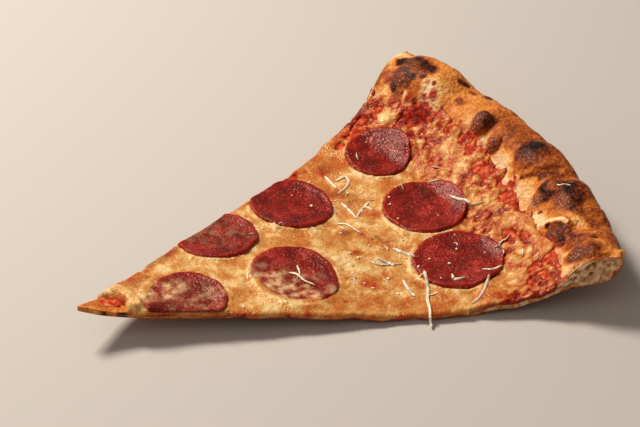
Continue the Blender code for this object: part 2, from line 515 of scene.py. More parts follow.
def add_node(
    tree: bpy.types.NodeTree,
    kind: str,
    inputs: dict[str | int, object] | None = None,
    stops: Sequence[tuple[float, str]] = (),
    out: str | int = 0,
    **settings: object,
) -> bpy.types.NodeSocket:
    """Adds a shader node with its settings and links.

    Args:
        tree: The material's node tree.
        kind: The node's type without its ShaderNode prefix.
        inputs: A value, or another node's output to link, for each input by name or number.
        stops: A colour ramp's (place, colour) stops.
        out: Which output to hand back.
        settings: Properties of the node itself.

    Returns:
        The output, ready to link.
    """
    made = tree.nodes.new("ShaderNode" + kind)
    for name, value in settings.items():
        setattr(made, name, value)
    if stops:
        elements = made.color_ramp.elements
        while len(elements) < len(stops):
            elements.new(0.5)
        for element, (place, code) in zip(elements, stops):
            element.position = place
            element.color = linear(code)
    for key, value in (inputs or {}).items():
        if isinstance(value, bpy.types.NodeSocket):
            tree.links.new(value, made.inputs[key])
        else:
            made.inputs[key].default_value = value
    return made.outputs[out] if len(made.outputs) else None


@dataclass(frozen=True)
class Finish:
    """What every finish shares: a shader whose constants are set on its own sockets."""

    name: str
    ior: float = 1.45
    specular: float = 0.5
    specular_tint: str = "#ffffff"
    subsurface: float = 0.0
    subsurface_reach: float = 1.0
    subsurface_tint: tuple[float, float, float] = (1.0, 0.5, 0.3)

    def start(self) -> tuple[bpy.types.Material, bpy.types.NodeTree, bpy.types.NodeSocket]:
        """Makes the material.

        Returns:
            The material, its emptied node tree and an output with the object's own coordinates.
        """
        material = bpy.data.materials.new(self.name)
        material.use_nodes = True
        tree = material.node_tree
        tree.nodes.clear()
        return material, tree, add_node(tree, "TexCoord", out="Object")

    def shade(
        self,
        tree: bpy.types.NodeTree,
        colour: bpy.types.NodeSocket,
        roughness: bpy.types.NodeSocket | float,
        height: bpy.types.NodeSocket,
        depth_mm: float,
    ) -> None:
        """Adds the shader with its colour, roughness and bump.

        Args:
            tree: The material's node tree.
            colour: Base colour.
            roughness: Roughness.
            height: Height of the bump, from 0 to 1.
            depth_mm: How deep the bump is.
        """
        normal = add_node(tree, "Bump", {"Height": height, "Distance": depth_mm * MM, "Strength": 1.0})
        shader = add_node(
            tree,
            "BsdfPrincipled",
            {
                "Base Color": colour,
                "Roughness": roughness,
                "Normal": normal,
                "IOR": self.ior,
                "Specular IOR Level": self.specular,
                "Specular Tint": linear(self.specular_tint),
                "Subsurface Weight": self.subsurface,
                "Subsurface Radius": self.subsurface_tint,
                "Subsurface Scale": self.subsurface_reach * MM,
            },
        )
        add_node(tree, "OutputMaterial", {"Surface": shader})


@dataclass(frozen=True)
class BakedDough(Finish):
    """Wheat dough baked in a deck oven: cream where it is shaded, gold to brown on its skin, charred on its
    bubbles, with a painted purple-grey highlight on their lit side, a fine pimpled skin and an open pale crumb at
    the cuts, whose pores and holes are darkened as painted shade.

    Attributes:
        mottle: Size of the skin's light and dark clouds.
        pimple: Spacing of the skin's pimples.
        crackle: Width of the plates that charred skin cracks into, drawn as coarse as it shows.
        pore: Size of the crumb's small pores.
    """

    name: str = "baked_wheat_dough"
    ior: float = 1.36
    specular: float = 0.28
    subsurface: float = 0.08
    mottle: float = 4.5
    pimple: float = 1.5
    crackle: float = 1.5
    pore: float = 2.4

    def make(self) -> bpy.types.Material:
        """Builds the material."""
        material, tree, place = self.start()
        bake = add_node(tree, "Attribute", attribute_name="bake", out="Fac")
        ash_and_sheen = add_node(tree, "Attribute", attribute_name="ash_and_sheen", out="Fac")
        crumb = add_node(tree, "Attribute", attribute_name="crumb", out="Fac")
        tomato = add_node(tree, "Attribute", attribute_name="tomato", out="Fac")
        clouds = add_node(
            tree, "TexNoise", {"Vector": place, "Scale": per_metre(self.mottle), "Detail": 4.0}
        )
        grain = add_node(
            tree, "TexNoise", {"Vector": place, "Scale": per_metre(self.pimple), "Detail": 3.0}
        )
        pimples = add_node(
            tree,
            "TexVoronoi",
            {"Vector": place, "Scale": per_metre(self.pimple), "Smoothness": 0.5},
            feature="SMOOTH_F1",
        )
        plates = add_node(
            tree,
            "TexVoronoi",
            {"Vector": place, "Scale": per_metre(self.crackle), "Randomness": 1.0},
            feature="DISTANCE_TO_EDGE",
        )
        pores = add_node(
            tree, "TexNoise", {"Vector": place, "Scale": per_metre(self.pore), "Detail": 2.0}
        )
        # The skin's own tone wavers by a cloud and by its pimples, whose tops are paler.
        cloud_tone = add_node(
            tree,
            "MapRange",
            {"Value": clouds, "From Min": 0.3, "From Max": 0.7, "To Min": -0.12, "To Max": 0.12},
        )
        pimple_tone = add_node(
            tree,
            "MapRange",
            {"Value": grain, "From Min": 0.3, "From Max": 0.7, "To Min": -0.14, "To Max": 0.14},
        )
        tone = add_node(tree, "Math", {0: cloud_tone, 1: pimple_tone}, operation="ADD")
        strength = add_node(tree, "Math", {0: bake, 1: 0.9, 2: 0.2}, operation="MULTIPLY_ADD")
        waver = add_node(tree, "Math", {0: tone, 1: strength}, operation="MULTIPLY")
        baked = add_node(tree, "Math", {0: bake, 1: waver}, operation="ADD", use_clamp=True)
        skin = add_node(
            tree,
            "ValToRGB",
            {0: baked},
            stops=(
                (0.00, "#ffe6b8"),
                (0.16, "#f8c37e"),
                (0.32, "#e28f3f"),
                (0.48, "#bf6526"),
                (0.62, "#93451b"),
                (0.78, "#54200c"),
                (0.90, "#2b0e06"),
                (1.00, "#140603"),
            ),
        )
        # Charred skin goes a dull purple-grey, crazed by dark cracks. Its lighter plates also stand in for a
        # painted purple-grey highlight on the lit side of each charred bubble.
        plate_and_sheen_tone = add_node(
            tree,
            "ValToRGB",
            {0: plates},
            stops=((0.00, "#3a150d"), (0.08, "#7e4733"), (0.22, "#b87860"), (0.45, "#d69e88")),
        )
        ash_share = add_node(tree, "Math", {0: ash_and_sheen, 1: 0.75}, operation="MULTIPLY")
        charred = add_node(
            tree,
            "Mix",
            {MIX_FACTOR: ash_share, MIX_A: skin, MIX_B: plate_and_sheen_tone},
            out=MIX_RESULT,
            data_type="RGBA",
        )
        # The crumb's own pale tone, darker where the same noise sinks the bump into a pore, as painted shade in
        # the pores.
        crumb_tone_and_pore_shade = add_node(
            tree,
            "ValToRGB",
            {0: pores},
            stops=((0.28, "#96603a"), (0.42, "#cd9868"), (0.54, "#eac193"), (0.70, "#ffe8c4")),
        )
        opened = add_node(
            tree,
            "Mix",
            {MIX_FACTOR: crumb, MIX_A: charred, MIX_B: crumb_tone_and_pore_shade},
            out=MIX_RESULT,
            data_type="RGBA",
        )
        smeared = add_node(
            tree,
            "Mix",
            {MIX_FACTOR: tomato, MIX_A: opened, MIX_B: linear("#a8260f")},
            out=MIX_RESULT,
            data_type="RGBA",
        )
        roughness = add_node(
            tree,
            "MapRange",
            {"Value": clouds, "From Min": 0.3, "From Max": 0.7, "To Min": 0.42, "To Max": 0.6},
        )
        skin_height = add_node(tree, "Math", {0: grain, 1: pimples}, operation="SUBTRACT")
        cracked_height = add_node(tree, "Math", {0: plates, 1: 1.6}, operation="MULTIPLY", use_clamp=True)
        charred_height = add_node(
            tree, "Mix", {0: ash_share, 2: skin_height, 3: cracked_height}, data_type="FLOAT"
        )
        height = add_node(tree, "Mix", {0: crumb, 2: charred_height, 3: pores}, data_type="FLOAT")
        self.shade(tree, smeared, roughness, height, 0.45)
        return material


@dataclass(frozen=True)
class TomatoSauce(Finish):
    """Cooked crushed tomato: wet red pulp with darker, drier clumps.

    Attributes:
        pulp: Size of the pulp's grains.
    """

    name: str = "crushed_tomato_sauce"
    ior: float = 1.36
    specular: float = 0.22
    specular_tint: str = "#ffd0b0"
    subsurface: float = 0.15
    pulp: float = 2.2

    def make(self) -> bpy.types.Material:
        """Builds the material."""
        material, tree, place = self.start()
        dark = add_node(tree, "Attribute", attribute_name="dark", out="Fac")
        grain = add_node(
            tree, "TexNoise", {"Vector": place, "Scale": per_metre(self.pulp), "Detail": 4.0}
        )
        fresh = add_node(
            tree,
            "ValToRGB",
            {0: grain},
            stops=((0.30, "#8e1507"), (0.43, "#b93018"), (0.56, "#d65630"), (0.70, "#ec9860")),
        )
        clump = add_node(
            tree, "ValToRGB", {0: grain}, stops=((0.32, "#490602"), (0.50, "#861106"), (0.70, "#b62e15"))
        )
        colour = add_node(
            tree,
            "Mix",
            {MIX_FACTOR: dark, MIX_A: fresh, MIX_B: clump},
            out=MIX_RESULT,
            data_type="RGBA",
        )
        self.shade(tree, colour, 0.4, grain, 0.8)
        return material


@dataclass(frozen=True)
class MeltedCheese(Finish):
    """Low-moisture mozzarella melted on sauce: cream where it is thick, through tan and orange to red where sauce
    and oil show through, with spots browned in the oven, brown streaks of painted shade beside folds and a bump,
    and an oily shine.

    Attributes:
        mottle: Size of its cream and tan patches.
        grain: Size of the fine unevenness of its skin.
        dimple: Size of the small pits and blebs of its skin.
    """

    name: str = "melted_mozzarella"
    specular_tint: str = "#ffe2bc"
    ior: float = 1.4
    subsurface: float = 0.15
    subsurface_reach: float = 1.2
    mottle: float = 6.0
    grain: float = 1.8
    dimple: float = 1.1

    def make(self) -> bpy.types.Material:
        """Builds the material."""
        material, tree, place = self.start()
        thin = add_node(tree, "Attribute", attribute_name="thin", out="Fac")
        brown = add_node(tree, "Attribute", attribute_name="brown", out="Fac")
        clouds = add_node(
            tree, "TexNoise", {"Vector": place, "Scale": per_metre(self.mottle), "Detail": 5.0}
        )
        grain = add_node(
            tree, "TexNoise", {"Vector": place, "Scale": per_metre(self.grain), "Detail": 3.0}
        )
        dimples = add_node(
            tree, "TexNoise", {"Vector": place, "Scale": per_metre(self.dimple), "Detail": 2.0}
        )
        cloud_tone = add_node(
            tree,
            "MapRange",
            {"Value": clouds, "From Min": 0.3, "From Max": 0.7, "To Min": -0.15, "To Max": 0.15},
        )
        grain_tone = add_node(
            tree,
            "MapRange",
            {"Value": grain, "From Min": 0.3, "From Max": 0.7, "To Min": -0.10, "To Max": 0.10},
        )
        wavering = add_node(tree, "Math", {0: cloud_tone, 1: grain_tone}, operation="ADD")
        tone = add_node(tree, "Math", {0: thin, 1: wavering}, operation="ADD", use_clamp=True)
        body = add_node(
            tree,
            "ValToRGB",
            {0: tone},
            stops=(
                (0.00, "#f8d79c"),
                (0.16, "#e9b773"),
                (0.32, "#d7944f"),
                (0.48, "#cb7d3c"),
                (0.62, "#c66830"),
                (0.76, "#bb4b24"),
                (0.88, "#ab3413"),
                (1.00, "#871a08"),
            ),
        )
        # Brown from the brown attribute: toasted spots, and painted shade beside folds and a bump.
        toast_and_shade = add_node(
            tree,
            "Mix",
            {MIX_FACTOR: brown, MIX_A: body, MIX_B: linear("#7d3813")},
            out=MIX_RESULT,
            data_type="RGBA",
        )
        roughness = add_node(
            tree,
            "MapRange",
            {"Value": clouds, "From Min": 0.35, "From Max": 0.65, "To Min": 0.14, "To Max": 0.34},
        )
        height = add_node(tree, "Math", {0: grain, 1: dimples}, operation="ADD")
        self.shade(tree, toast_and_shade, roughness, height, 0.45)
        return material


@dataclass(frozen=True)
class CuredSausage(Finish):
    """Baked pepperoni: dark red cured meat of fine grain with small pale specks of fat, a soft oily sheen,
    and redder where its thin edge lets light through.

    Attributes:
        mottle: Size of the broad darker areas.
        grain: Size of the meat's grain.
        knob: Size of its knobbly skin, which breaks the sheen into glints.
        fat: Spacing of the fat specks, drawn a little coarser than they are so that they show.
        clot: Size of the clots of cheese that have run over it.
    """

    name: str = "cured_pepperoni"
    ior: float = 1.4
    specular: float = 0.65
    specular_tint: str = "#f6c6bc"
    subsurface: float = 0.1
    subsurface_tint: tuple[float, float, float] = (1.0, 0.2, 0.1)
    mottle: float = 8.0
    grain: float = 0.95
    knob: float = 0.9
    fat: float = 1.9
    clot: float = 4.5

    def make(self) -> bpy.types.Material:
        """Builds the material."""
        material, tree, place = self.start()
        edge = add_node(tree, "Attribute", attribute_name="edge", out="Fac")
        film = add_node(tree, "Attribute", attribute_name="film", out="Fac")
        broad = add_node(
            tree, "TexNoise", {"Vector": place, "Scale": per_metre(self.mottle), "Detail": 3.0}
        )
        meat = add_node(
            tree, "TexNoise", {"Vector": place, "Scale": per_metre(self.grain), "Detail": 4.0}
        )
        cells = add_node(tree, "TexVoronoi", {"Vector": place, "Scale": per_metre(self.fat)}, feature="F1")
        grain_tone = add_node(
            tree,
            "MapRange",
            {"Value": meat, "From Min": 0.3, "From Max": 0.7, "To Min": -0.22, "To Max": 0.22},
        )
        tone = add_node(tree, "Math", {0: broad, 1: grain_tone}, operation="ADD", use_clamp=True)
        lean = add_node(
            tree,
            "ValToRGB",
            {0: tone},
            stops=((0.15, "#480b07"), (0.40, "#6f130d"), (0.56, "#8b1a12"), (0.74, "#ad3025"), (0.95, "#cc5547")),
        )
        fat = add_node(
            tree,
            "MapRange",
            {"Value": cells, "From Min": 0.08, "From Max": 0.19, "To Min": 0.8, "To Max": 0.0},
        )
        speckled = add_node(
            tree,
            "Mix",
            {MIX_FACTOR: fat, MIX_A: lean, MIX_B: linear("#c98370")},
            out=MIX_RESULT,
            data_type="RGBA",
        )
        # A painted glow: brighter red on the rim where light shines through the thin edge.
        edged = add_node(
            tree,
            "Mix",
            {MIX_FACTOR: edge, MIX_A: speckled, MIX_B: linear("#a91a0d")},
            out=MIX_RESULT,
            data_type="RGBA",
        )
        # Where molten cheese has run over a round its red is veiled by cream, most where it is thick.
        clotted = add_node(
            tree, "TexNoise", {"Vector": place, "Scale": per_metre(self.clot), "Detail": 4.0}
        )
        veil_tone = add_node(
            tree, "ValToRGB", {0: clotted}, stops=((0.36, "#b06244"), (0.50, "#d49c6e"), (0.64, "#ecc596"))
        )
        clots = add_node(
            tree,
            "MapRange",
            {"Value": clotted, "From Min": 0.40, "From Max": 0.60, "To Min": 0.15, "To Max": 1.35},
        )
        veil = add_node(tree, "Math", {0: film, 1: clots}, operation="MULTIPLY", use_clamp=True)
        veiled = add_node(
            tree,
            "Mix",
            {MIX_FACTOR: veil, MIX_A: edged, MIX_B: veil_tone},
            out=MIX_RESULT,
            data_type="RGBA",
        )
        # Its greasy knobs shine, and the hollows between them are duller.
        knobs = add_node(
            tree, "TexNoise", {"Vector": place, "Scale": per_metre(self.knob), "Detail": 2.0}
        )
        roughness = add_node(
            tree,
            "MapRange",
            {"Value": knobs, "From Min": 0.35, "From Max": 0.65, "To Min": 0.42, "To Max": 0.16},
        )
        self.shade(tree, veiled, roughness, knobs, 0.38)
        return material


@dataclass(frozen=True)
class GratedCheese(Finish):
    """Hard aged cheese, freshly grated: pale cream, dry, a little translucent."""

    name: str = "grated_hard_cheese"
    subsurface: float = 0.1
    subsurface_tint: tuple[float, float, float] = (1.0, 0.8, 0.5)
    grain: float = 0.9

    def make(self) -> bpy.types.Material:
        """Builds the material."""
        material, tree, place = self.start()
        grain = add_node(
            tree, "TexNoise", {"Vector": place, "Scale": per_metre(self.grain), "Detail": 2.0}
        )
        colour = add_node(tree, "ValToRGB", {0: grain}, stops=((0.35, "#f6e3bd"), (0.6, "#fff6e0")))
        self.shade(tree, colour, 0.5, grain, 0.12)
        return material


@dataclass(frozen=True)
class DriedHerb(Finish):
    """Dried oregano and cracked pepper: matt flakes from olive to nearly black."""

    name: str = "dried_oregano"
    grain: float = 6.0

    def make(self) -> bpy.types.Material:
        """Builds the material."""
        material, tree, place = self.start()
        grain = add_node(
            tree, "TexNoise", {"Vector": place, "Scale": per_metre(self.grain), "Detail": 2.0}
        )
        colour = add_node(tree, "ValToRGB", {0: grain}, stops=((0.4, "#20160c"), (0.6, "#57491d")))
        self.shade(tree, colour, 0.8, grain, 0.1)
        return material


@dataclass(frozen=True)
class PaintedFloor(Finish):
    """Matt pale paint on a studio floor, with a barely visible roller texture."""

    name: str = "matt_floor_paint"
    tone: str = "#cdc9c4"
    roller: float = 3.0

    def make(self) -> bpy.types.Material:
        """Builds the material."""
        material, tree, place = self.start()
        grain = add_node(
            tree, "TexNoise", {"Vector": place, "Scale": per_metre(self.roller), "Detail": 2.0}
        )
        self.shade(tree, add_node(tree, "RGB"), 0.7, grain, 0.02)
        tree.nodes["RGB"].outputs[0].default_value = linear(self.tone)
        return material


# --- Dough -----------------------------------------------------------------------------------------------
@dataclass(frozen=True)
class Dough:
    """The base and rim in one closed mesh, a block whose six sides are shaped into the slice.

    Attributes:
        form: The slice's form.
        toppings: What lies on it, and how far that reaches.
        base_cells: Cells along the base, from tip to foot of the rim.
        rim_cells: Cells from the foot to the crest, before the rim is refined.
        around_cells: Cells from cut to cut, before the rim is refined.
        rise_cells: Cells from underside to top, before the rim is refined.
        rim_start: Level from which the outside's roundness is felt.
        reach: How far the outside bulges past the crest.
    """

    form: SliceForm
    toppings: "Toppings"
    base_cells: int = 64
    rim_cells: int = 16
    around_cells: int = 92
    rise_cells: int = 18
    rim_start: float = 190.0
    reach: float = 14.4
    lump: float = 0.55
    lump_size: float = 9.0
    knob: float = 0.16
    knob_size: float = 2.6

    # How far baked each place is: 0 is pale dough, 0.35 gold, 0.6 brown and 1 black. Three dark streaks down the
    # valley and the fold between bubbles are painted shade rather than bake.
    baked: tuple[Patch | Streak, ...] = (
        Patch(216.0, 52.0, 13.0, 26.0, 0.0, 0.34, 0.6),
        Patch(217.0, 6.0, 6.0, 12.0, 0.0, 0.60, 0.6),
        Patch(204.0, -6.0, 4.5, 15.0, 4.0, 0.03, 0.6),
        Patch(205.0, 17.0, 3.5, 14.0, 0.0, 0.12, 0.6),
        Patch(203.0, 82.0, 17.0, 6.0, 75.0, 0.07, 0.6),
        Streak(((203.0, 52.0), (204.6, 45.0), (205.6, 36.0), (206.0, 29.0)), 2.4, 0.20),
        Patch(199.0, 57.0, 17.0, 7.0, -75.0, 0.06, 0.6),
        Patch(204.5, 42.0, 4.0, 9.0, 0.0, 0.36, 0.7),
        Patch(209.2, 42.7, 1.8, 2.4, 0.0, 0.66, 0.6),
        Streak(((203.0, 80.5), (205.6, 77.5), (206.6, 72.0), (206.4, 66.0)), 5.0, 0.92),
        Streak(((205.0, 80.0), (207.4, 75.5), (207.6, 70.0)), 2.4, 0.97),
        Patch(202.6, 73.0, 6.0, 5.6, 0.0, 0.72, 0.6),
        Patch(198.8, 70.6, 9.4, 5.8, -62.0, 0.68, 0.3),
        Patch(197.8, 61.9, 4.0, 3.2, 40.0, 0.50, 0.5),
        Streak(((198.0, 75.2), (199.5, 71.4)), 1.1, 0.98),
        Streak(((198.6, 69.5), (199.8, 65.8)), 1.2, 0.98),
        Streak(((192.8, 73.8), (192.2, 71.0)), 1.3, 0.98),
        Patch(191.4, 67.6, 2.6, 3.0, 0.0, 0.58, 0.6),
        Patch(204.4, 56.6, 0.9, 0.9, 0.0, 0.90, 0.6),
        Patch(202.4, 62.6, 1.2, 0.9, 0.0, 0.90, 0.6),
        Patch(195.4, 58.8, 1.1, 1.6, 0.0, 0.85, 0.6),
        Patch(216.3, 53.2, 1.4, 1.8, 0.0, 0.80, 0.6),
        Patch(218.7, 51.7, 1.6, 1.6, 0.0, 0.85, 0.6),
        Patch(222.5, 39.9, 1.8, 2.2, 0.0, 0.82, 0.6),
        Patch(219.0, 45.4, 1.4, 1.6, 0.0, 0.66, 0.6),
        Patch(209.0, 23.4, 4.8, 5.2, 0.0, 0.60, 0.25),
        Patch(211.0, 21.0, 3.6, 4.4, 0.0, 0.76, 0.5),
        Streak(((209.5, 28.2), (212.6, 26.0), (213.4, 22.0)), 1.1, 0.92),
        Patch(207.6, 10.8, 3.5, 3.9, 0.0, 0.56, 0.3),
        Patch(206.9, 9.9, 1.2, 1.2, 0.0, 0.98, 0.7),
        Patch(215.0, -14.0, 9.0, 11.0, 0.0, 0.56, 0.5),
        Patch(213.0, -9.0, 7.0, 6.0, 0.0, 0.86, 0.9),
        Patch(214.6, -7.4, 4.4, 3.4, 0.0, 1.0, 1.0),
        # Painted shade: two dark streaks down the valley between two bubbles.
        Streak(((204.2, -14.4), (206.8, -19.4), (208.3, -22.5)), 0.7, 0.60),
        Streak(((208.3, -23.8), (211.3, -25.3), (214.6, -26.6)), 1.8, 0.78),
        Patch(211.0, -39.0, 9.0, 13.0, 0.0, 0.56, 0.5),
        Streak(((208.2, -29.6), (206.2, -29.2), (204.8, -31.6), (203.4, -35.5)), 2.4, 0.82),
        Patch(210.8, -40.6, 5.6, 4.8, 0.0, 0.90, 0.9),
        Patch(209.0, -47.5, 4.2, 4.2, 0.0, 0.80, 0.7),
        Patch(206.0, -51.5, 3.2, 3.4, 0.0, 0.70, 0.7),
        Patch(202.4, -30.4, 1.6, 3.0, 0.0, 0.52, 0.6),
        Patch(204.9, -44.6, 1.8, 3.2, 0.0, 0.54, 0.6),
        Streak(((198.6, -31.0), (200.4, -38.7), (201.1, -45.2), (202.4, -53.9)), 2.2, 0.40),
        Patch(197.0, -36.5, 2.6, 5.6, 10.0, 0.04, 0.5),
        Patch(203.4, -58.0, 2.6, 5.0, 14.0, 0.20, 0.6),
        Patch(196.2, -54.6, 4.4, 8.2, 4.0, 0.74, 0.35),
        Patch(198.2, -46.4, 1.4, 1.5, 0.0, 0.98, 0.6),
        Patch(193.5, -61.4, 1.3, 1.7, 0.0, 1.0, 0.6),
        Streak(((196.8, -40.6), (197.6, -42.9), (199.3, -46.0), (199.6, -50.3), (200.0, -55.5)), 0.8, 0.0),
        # Painted shade: a dark streak along a fold in the rim.
        Streak(((197.3, -63.6), (199.4, -68.5), (202.4, -72.4)), 1.4, 0.74),
        Patch(195.3, -68.2, 3.0, 5.4, 24.0, 0.66, 0.6),
        Patch(191.6, -75.4, 2.9, 5.6, 24.0, 0.74, 0.45),
        Patch(197.5, -79.0, 3.2, 4.0, 30.0, 0.66, 0.7),
        Patch(204.0, -84.5, 5.0, 3.0, -20.0, 0.30, 0.6),
        Patch(9.6, -4.2, 1.0, 0.5, -20.0, 0.90),
        Patch(16.4, -7.1, 1.6, 1.0, -20.0, 0.97),
    )
    # Where charred skin has cracked into grey-purple plates. These patches sit on the lit inner side of each
    # bubble, so their plates are partly a painted purple-grey highlight.
    cracked_and_sheen: tuple[Patch, ...] = (
        Patch(197.2, 71.8, 7.6, 4.6, -62.0, 0.45, 0.4),
        Patch(206.0, 79.0, 2.4, 3.0, 0.0, 0.45, 0.6),
        Patch(191.6, 67.4, 2.0, 2.6, 0.0, 0.4, 0.6),
        Patch(207.4, 25.0, 3.2, 4.2, 0.0, 0.95, 0.5),
        Patch(206.4, 11.4, 2.8, 3.4, 0.0, 0.8, 0.5),
        Patch(209.6, -10.4, 2.2, 5.4, 0.0, 0.6, 0.6),
        Patch(201.8, -30.6, 2.2, 3.8, 0.0, 1.0, 0.6),
        Patch(204.6, -44.8, 2.4, 4.0, 0.0, 1.0, 0.6),
        Patch(194.4, -53.8, 2.4, 5.0, 0.0, 0.35, 0.6),
        Patch(191.2, -75.2, 2.4, 5.0, 24.0, 0.8, 0.5),
    )
    # Bubbles that stand up from the rim.
    domes: tuple[Patch, ...] = (
        Patch(209.0, 23.4, 4.2, 4.9, value=3.4),
        Patch(207.6, 10.8, 3.1, 3.5, value=1.8),
        Patch(215.0, -9.5, 10.0, 9.5, value=1.5),
        Patch(207.0, -31.0, 6.6, 6.4, value=1.8),
        Patch(211.5, -43.0, 8.6, 8.0, 20.0, value=1.1),
        Patch(196.4, -53.5, 5.0, 7.4, 4.0, value=1.3),
        Patch(193.6, -75.6, 4.4, 6.6, 30.0, value=0.9),
        Patch(198.0, 71.5, 7.0, 6.2, -70.0, value=1.2),
        Patch(198.7, 61.3, 5.0, 4.0, 40.0, value=0.8),
        Patch(210.0, 42.9, 3.4, 3.4, value=0.9),
        Patch(215.5, 60.0, 7.0, 6.0, value=0.7),
        Patch(201.5, 50.0, 3.4, 3.4, value=0.6),
        Patch(216.0, -60.0, 8.0, 7.0, value=0.6),
    )
    # Specks of tomato thrown onto the rim: red, and a little raised.
    specks: tuple[Patch, ...] = (
        Patch(194.3, 62.9, 1.8, 1.7, edge=0.6),
        Patch(202.0, 53.4, 1.9, 2.1, edge=0.6),
        Patch(199.0, 56.2, 1.1, 1.3, edge=0.6),
        Patch(192.6, 78.3, 1.4, 1.6, value=0.5, edge=0.6),
        Patch(187.2, 74.2, 1.3, 1.3, value=0.8, edge=0.6),
        Patch(188.8, 69.1, 1.3, 1.6, value=0.9, edge=0.6),
        Patch(202.8, 59.1, 0.9, 0.9, value=0.6, edge=0.6),
        Patch(200.9, 38.9, 1.2, 1.6, value=0.8, edge=0.6),
        Patch(203.6, 31.0, 1.2, 1.6, value=0.7, edge=0.6),
    )
    # A lip of skin stands over the low bubble, and a valley runs between two bubbles.
    lips: tuple[Streak, ...] = (
        Streak(((197.8, -43.2), (200.4, -49.7), (201.8, -57.0)), 2.0, 1.2),
        Streak(((206.0, -20.0), (211.0, -24.0), (217.0, -25.0)), 2.0, -0.9),
        Streak(((196.6, -64.5), (200.8, -71.5), (204.5, -74.0)), 1.6, -0.8),
        Streak(((208.5, -36.5), (214.0, -37.0)), 1.6, -0.7),
    )
    corner: Patch = Patch(206.5, -87.0, 5.0, 3.0)
    corner_rise: float = 2.4

    def block(self) -> bmesh.types.BMesh:
        """Makes a cube of unit size, cut into cells and refined where the slice shows detail.

        Returns:
            A closed mesh whose x runs along the slice, y from cut to cut and z from underside to top.
        """
        bm = bmesh.new()
        bmesh.ops.create_cube(bm, size=1.0, matrix=Matrix.Translation((0.5, 0.5, 0.5)))
        counts = (self.base_cells + self.rim_cells, self.around_cells, self.rise_cells)
        for axis, count in enumerate(counts):
            run = [e for e in bm.edges if abs(e.verts[0].co[axis] - e.verts[1].co[axis]) > 1e-6]
            bmesh.ops.subdivide_edges(bm, edges=run, cuts=count - 1, use_grid_fill=True)
        split = self.base_cells / (self.base_cells + self.rim_cells)
        for with_cuts in (True, False):
            chosen = []
            for face in bm.faces:
                middle = face.calc_center_median()
                on_rim = middle.x > split and middle.z > 1e-6
                on_cut = min(middle.y, 1.0 - middle.y) < 1e-6
                if on_rim or (on_cut and with_cuts):
                    chosen.append(face)
            edges = {edge for face in chosen for edge in face.edges}
            bmesh.ops.subdivide_edges(bm, edges=list(edges), cuts=1, use_grid_fill=True)
        for vert in bm.verts:
            if vert.co.x < 1e-6:
                vert.co.y = 0.5
        bmesh.ops.remove_doubles(bm, verts=bm.verts, dist=1e-6)
        bmesh.ops.triangulate(bm, faces=[face for face in bm.faces if len(face.verts) > 4])
        return bm

    def build(self, finish: BakedDough) -> bpy.types.Object:
        """Shapes the block into the slice and dresses it.

        Args:
            finish: The dough's finish.

        Returns:
            The piece.
        """
        form = self.form
        bm = self.block()
        along, across, rise = coordinates(bm).T
        split = self.base_cells / (self.base_cells + self.rim_cells)
        level = np.interp(along, [0.0, split, 1.0], [form.tip_radius, self.rim_start, form.rim_crest])
        angle = (across - 0.5) * form.angle
        round_share = smooth_step(level, self.rim_start, form.rim_crest)
        turn = np.radians(-90.0 + 180.0 * rise)
        bulge = self.reach * np.abs(np.cos(turn)) ** (2.0 / form.rim_power)
        lean = np.sign(turn) * np.abs(np.sin(turn)) ** (2.0 / form.rim_power)
        half = np.where(turn < 0.0, form.rim_bulge, form.rim_height - form.rim_bulge)
        arc_height = form.rim_bulge + half * lean
        change = form.rim_change(level, angle)
        arc_height += change * smooth_step(arc_height, form.rim_bulge * 0.5, form.rim_height)
        # The near end of the rim is rounded off below.
        rounded = 1.0 - smooth_step(angle, -form.half_angle, -form.half_angle + 4.0)
        bulge *= 1.0 - 0.3 * rounded * (1.0 - smooth_step(rise, 0.3, 0.75))
        top = form.dough_top(level, angle)
        height = rise * top + round_share * (arc_height * top / (form.rim_height + change) - rise * top)
        out = level + round_share * bulge
        places = form.place(out, angle, height)
        u, v = places[:, 0] + form.rest_radius, places[:, 1]

        on_cut = np.minimum(across, 1.0 - across) < 1e-6
        outside = along > 1.0 - 1e-6
        underneath = (rise < 1e-6) & ~outside
        skin_depth = np.minimum(height, top - height)
        skin_depth = np.minimum(skin_depth, form.rim_crest + bulge - out)
        crumb = np.where(on_cut, smooth_step(skin_depth, 0.15, 0.8), 0.0)
        ragged = 0.22 * unevenness(Pattern.CLOUDS, places, 3.0, seed=1)
        on_rim = smooth_step(level, 194.0, 207.0)
        skin = (~on_cut).astype(float)

        swell = self.lump * unevenness(Pattern.CLOUDS, places, self.lump_size, seed=2, octaves=2)
        swell += self.knob * unevenness(Pattern.CLOUDS, places, self.knob_size, seed=3, octaves=2)
        swell *= on_rim * np.where(underneath, 0.4, 1.0) * skin
        swell += painted(np.zeros(len(u)), self.lips, u, v) * skin
        swell += np.max([dome.dome(u, v) for dome in self.domes], axis=0) * skin * ~underneath
        swell += 0.5 * painted(np.zeros(len(u)), self.specks, u, v, ragged) * skin
        swell += self.corner_rise * self.corner.cover(u, v) * smooth_step(height, 9.0, 12.0) * outside
        holes = unevenness(Pattern.CELLS, places, 4.2, seed=4)
        hollow = 2.2 * (1.0 - smooth_step(holes, 0.15, 0.42)) * smooth_step(skin_depth, 0.4, 1.4)
        torn = 2.6 * np.abs(unevenness(Pattern.CLOUDS, places, 5.0, seed=5, octaves=4))
        swell -= crumb * (hollow + torn)
        # At the near cut the rim's top edge is torn back.
        to_cut = np.radians(angle + form.half_angle) * level
        torn_edge = 1.0 - smooth_step(to_cut + 6.0 * ragged, 0.6, 3.4)
        torn_edge *= smooth_step(level, 178.0, 190.0) * (rise > 0.3) * ~underneath
        swell -= 1.3 * torn_edge * skin
        crumb = np.maximum(crumb, torn_edge * (1.0 - smooth_step(level, 206.0, 212.0)))
        # The tip is thicker, and blunt.
        swell += 0.8 * (1.0 - smooth_step(level, 6.0, 24.0)) * (rise > 0.5) * skin

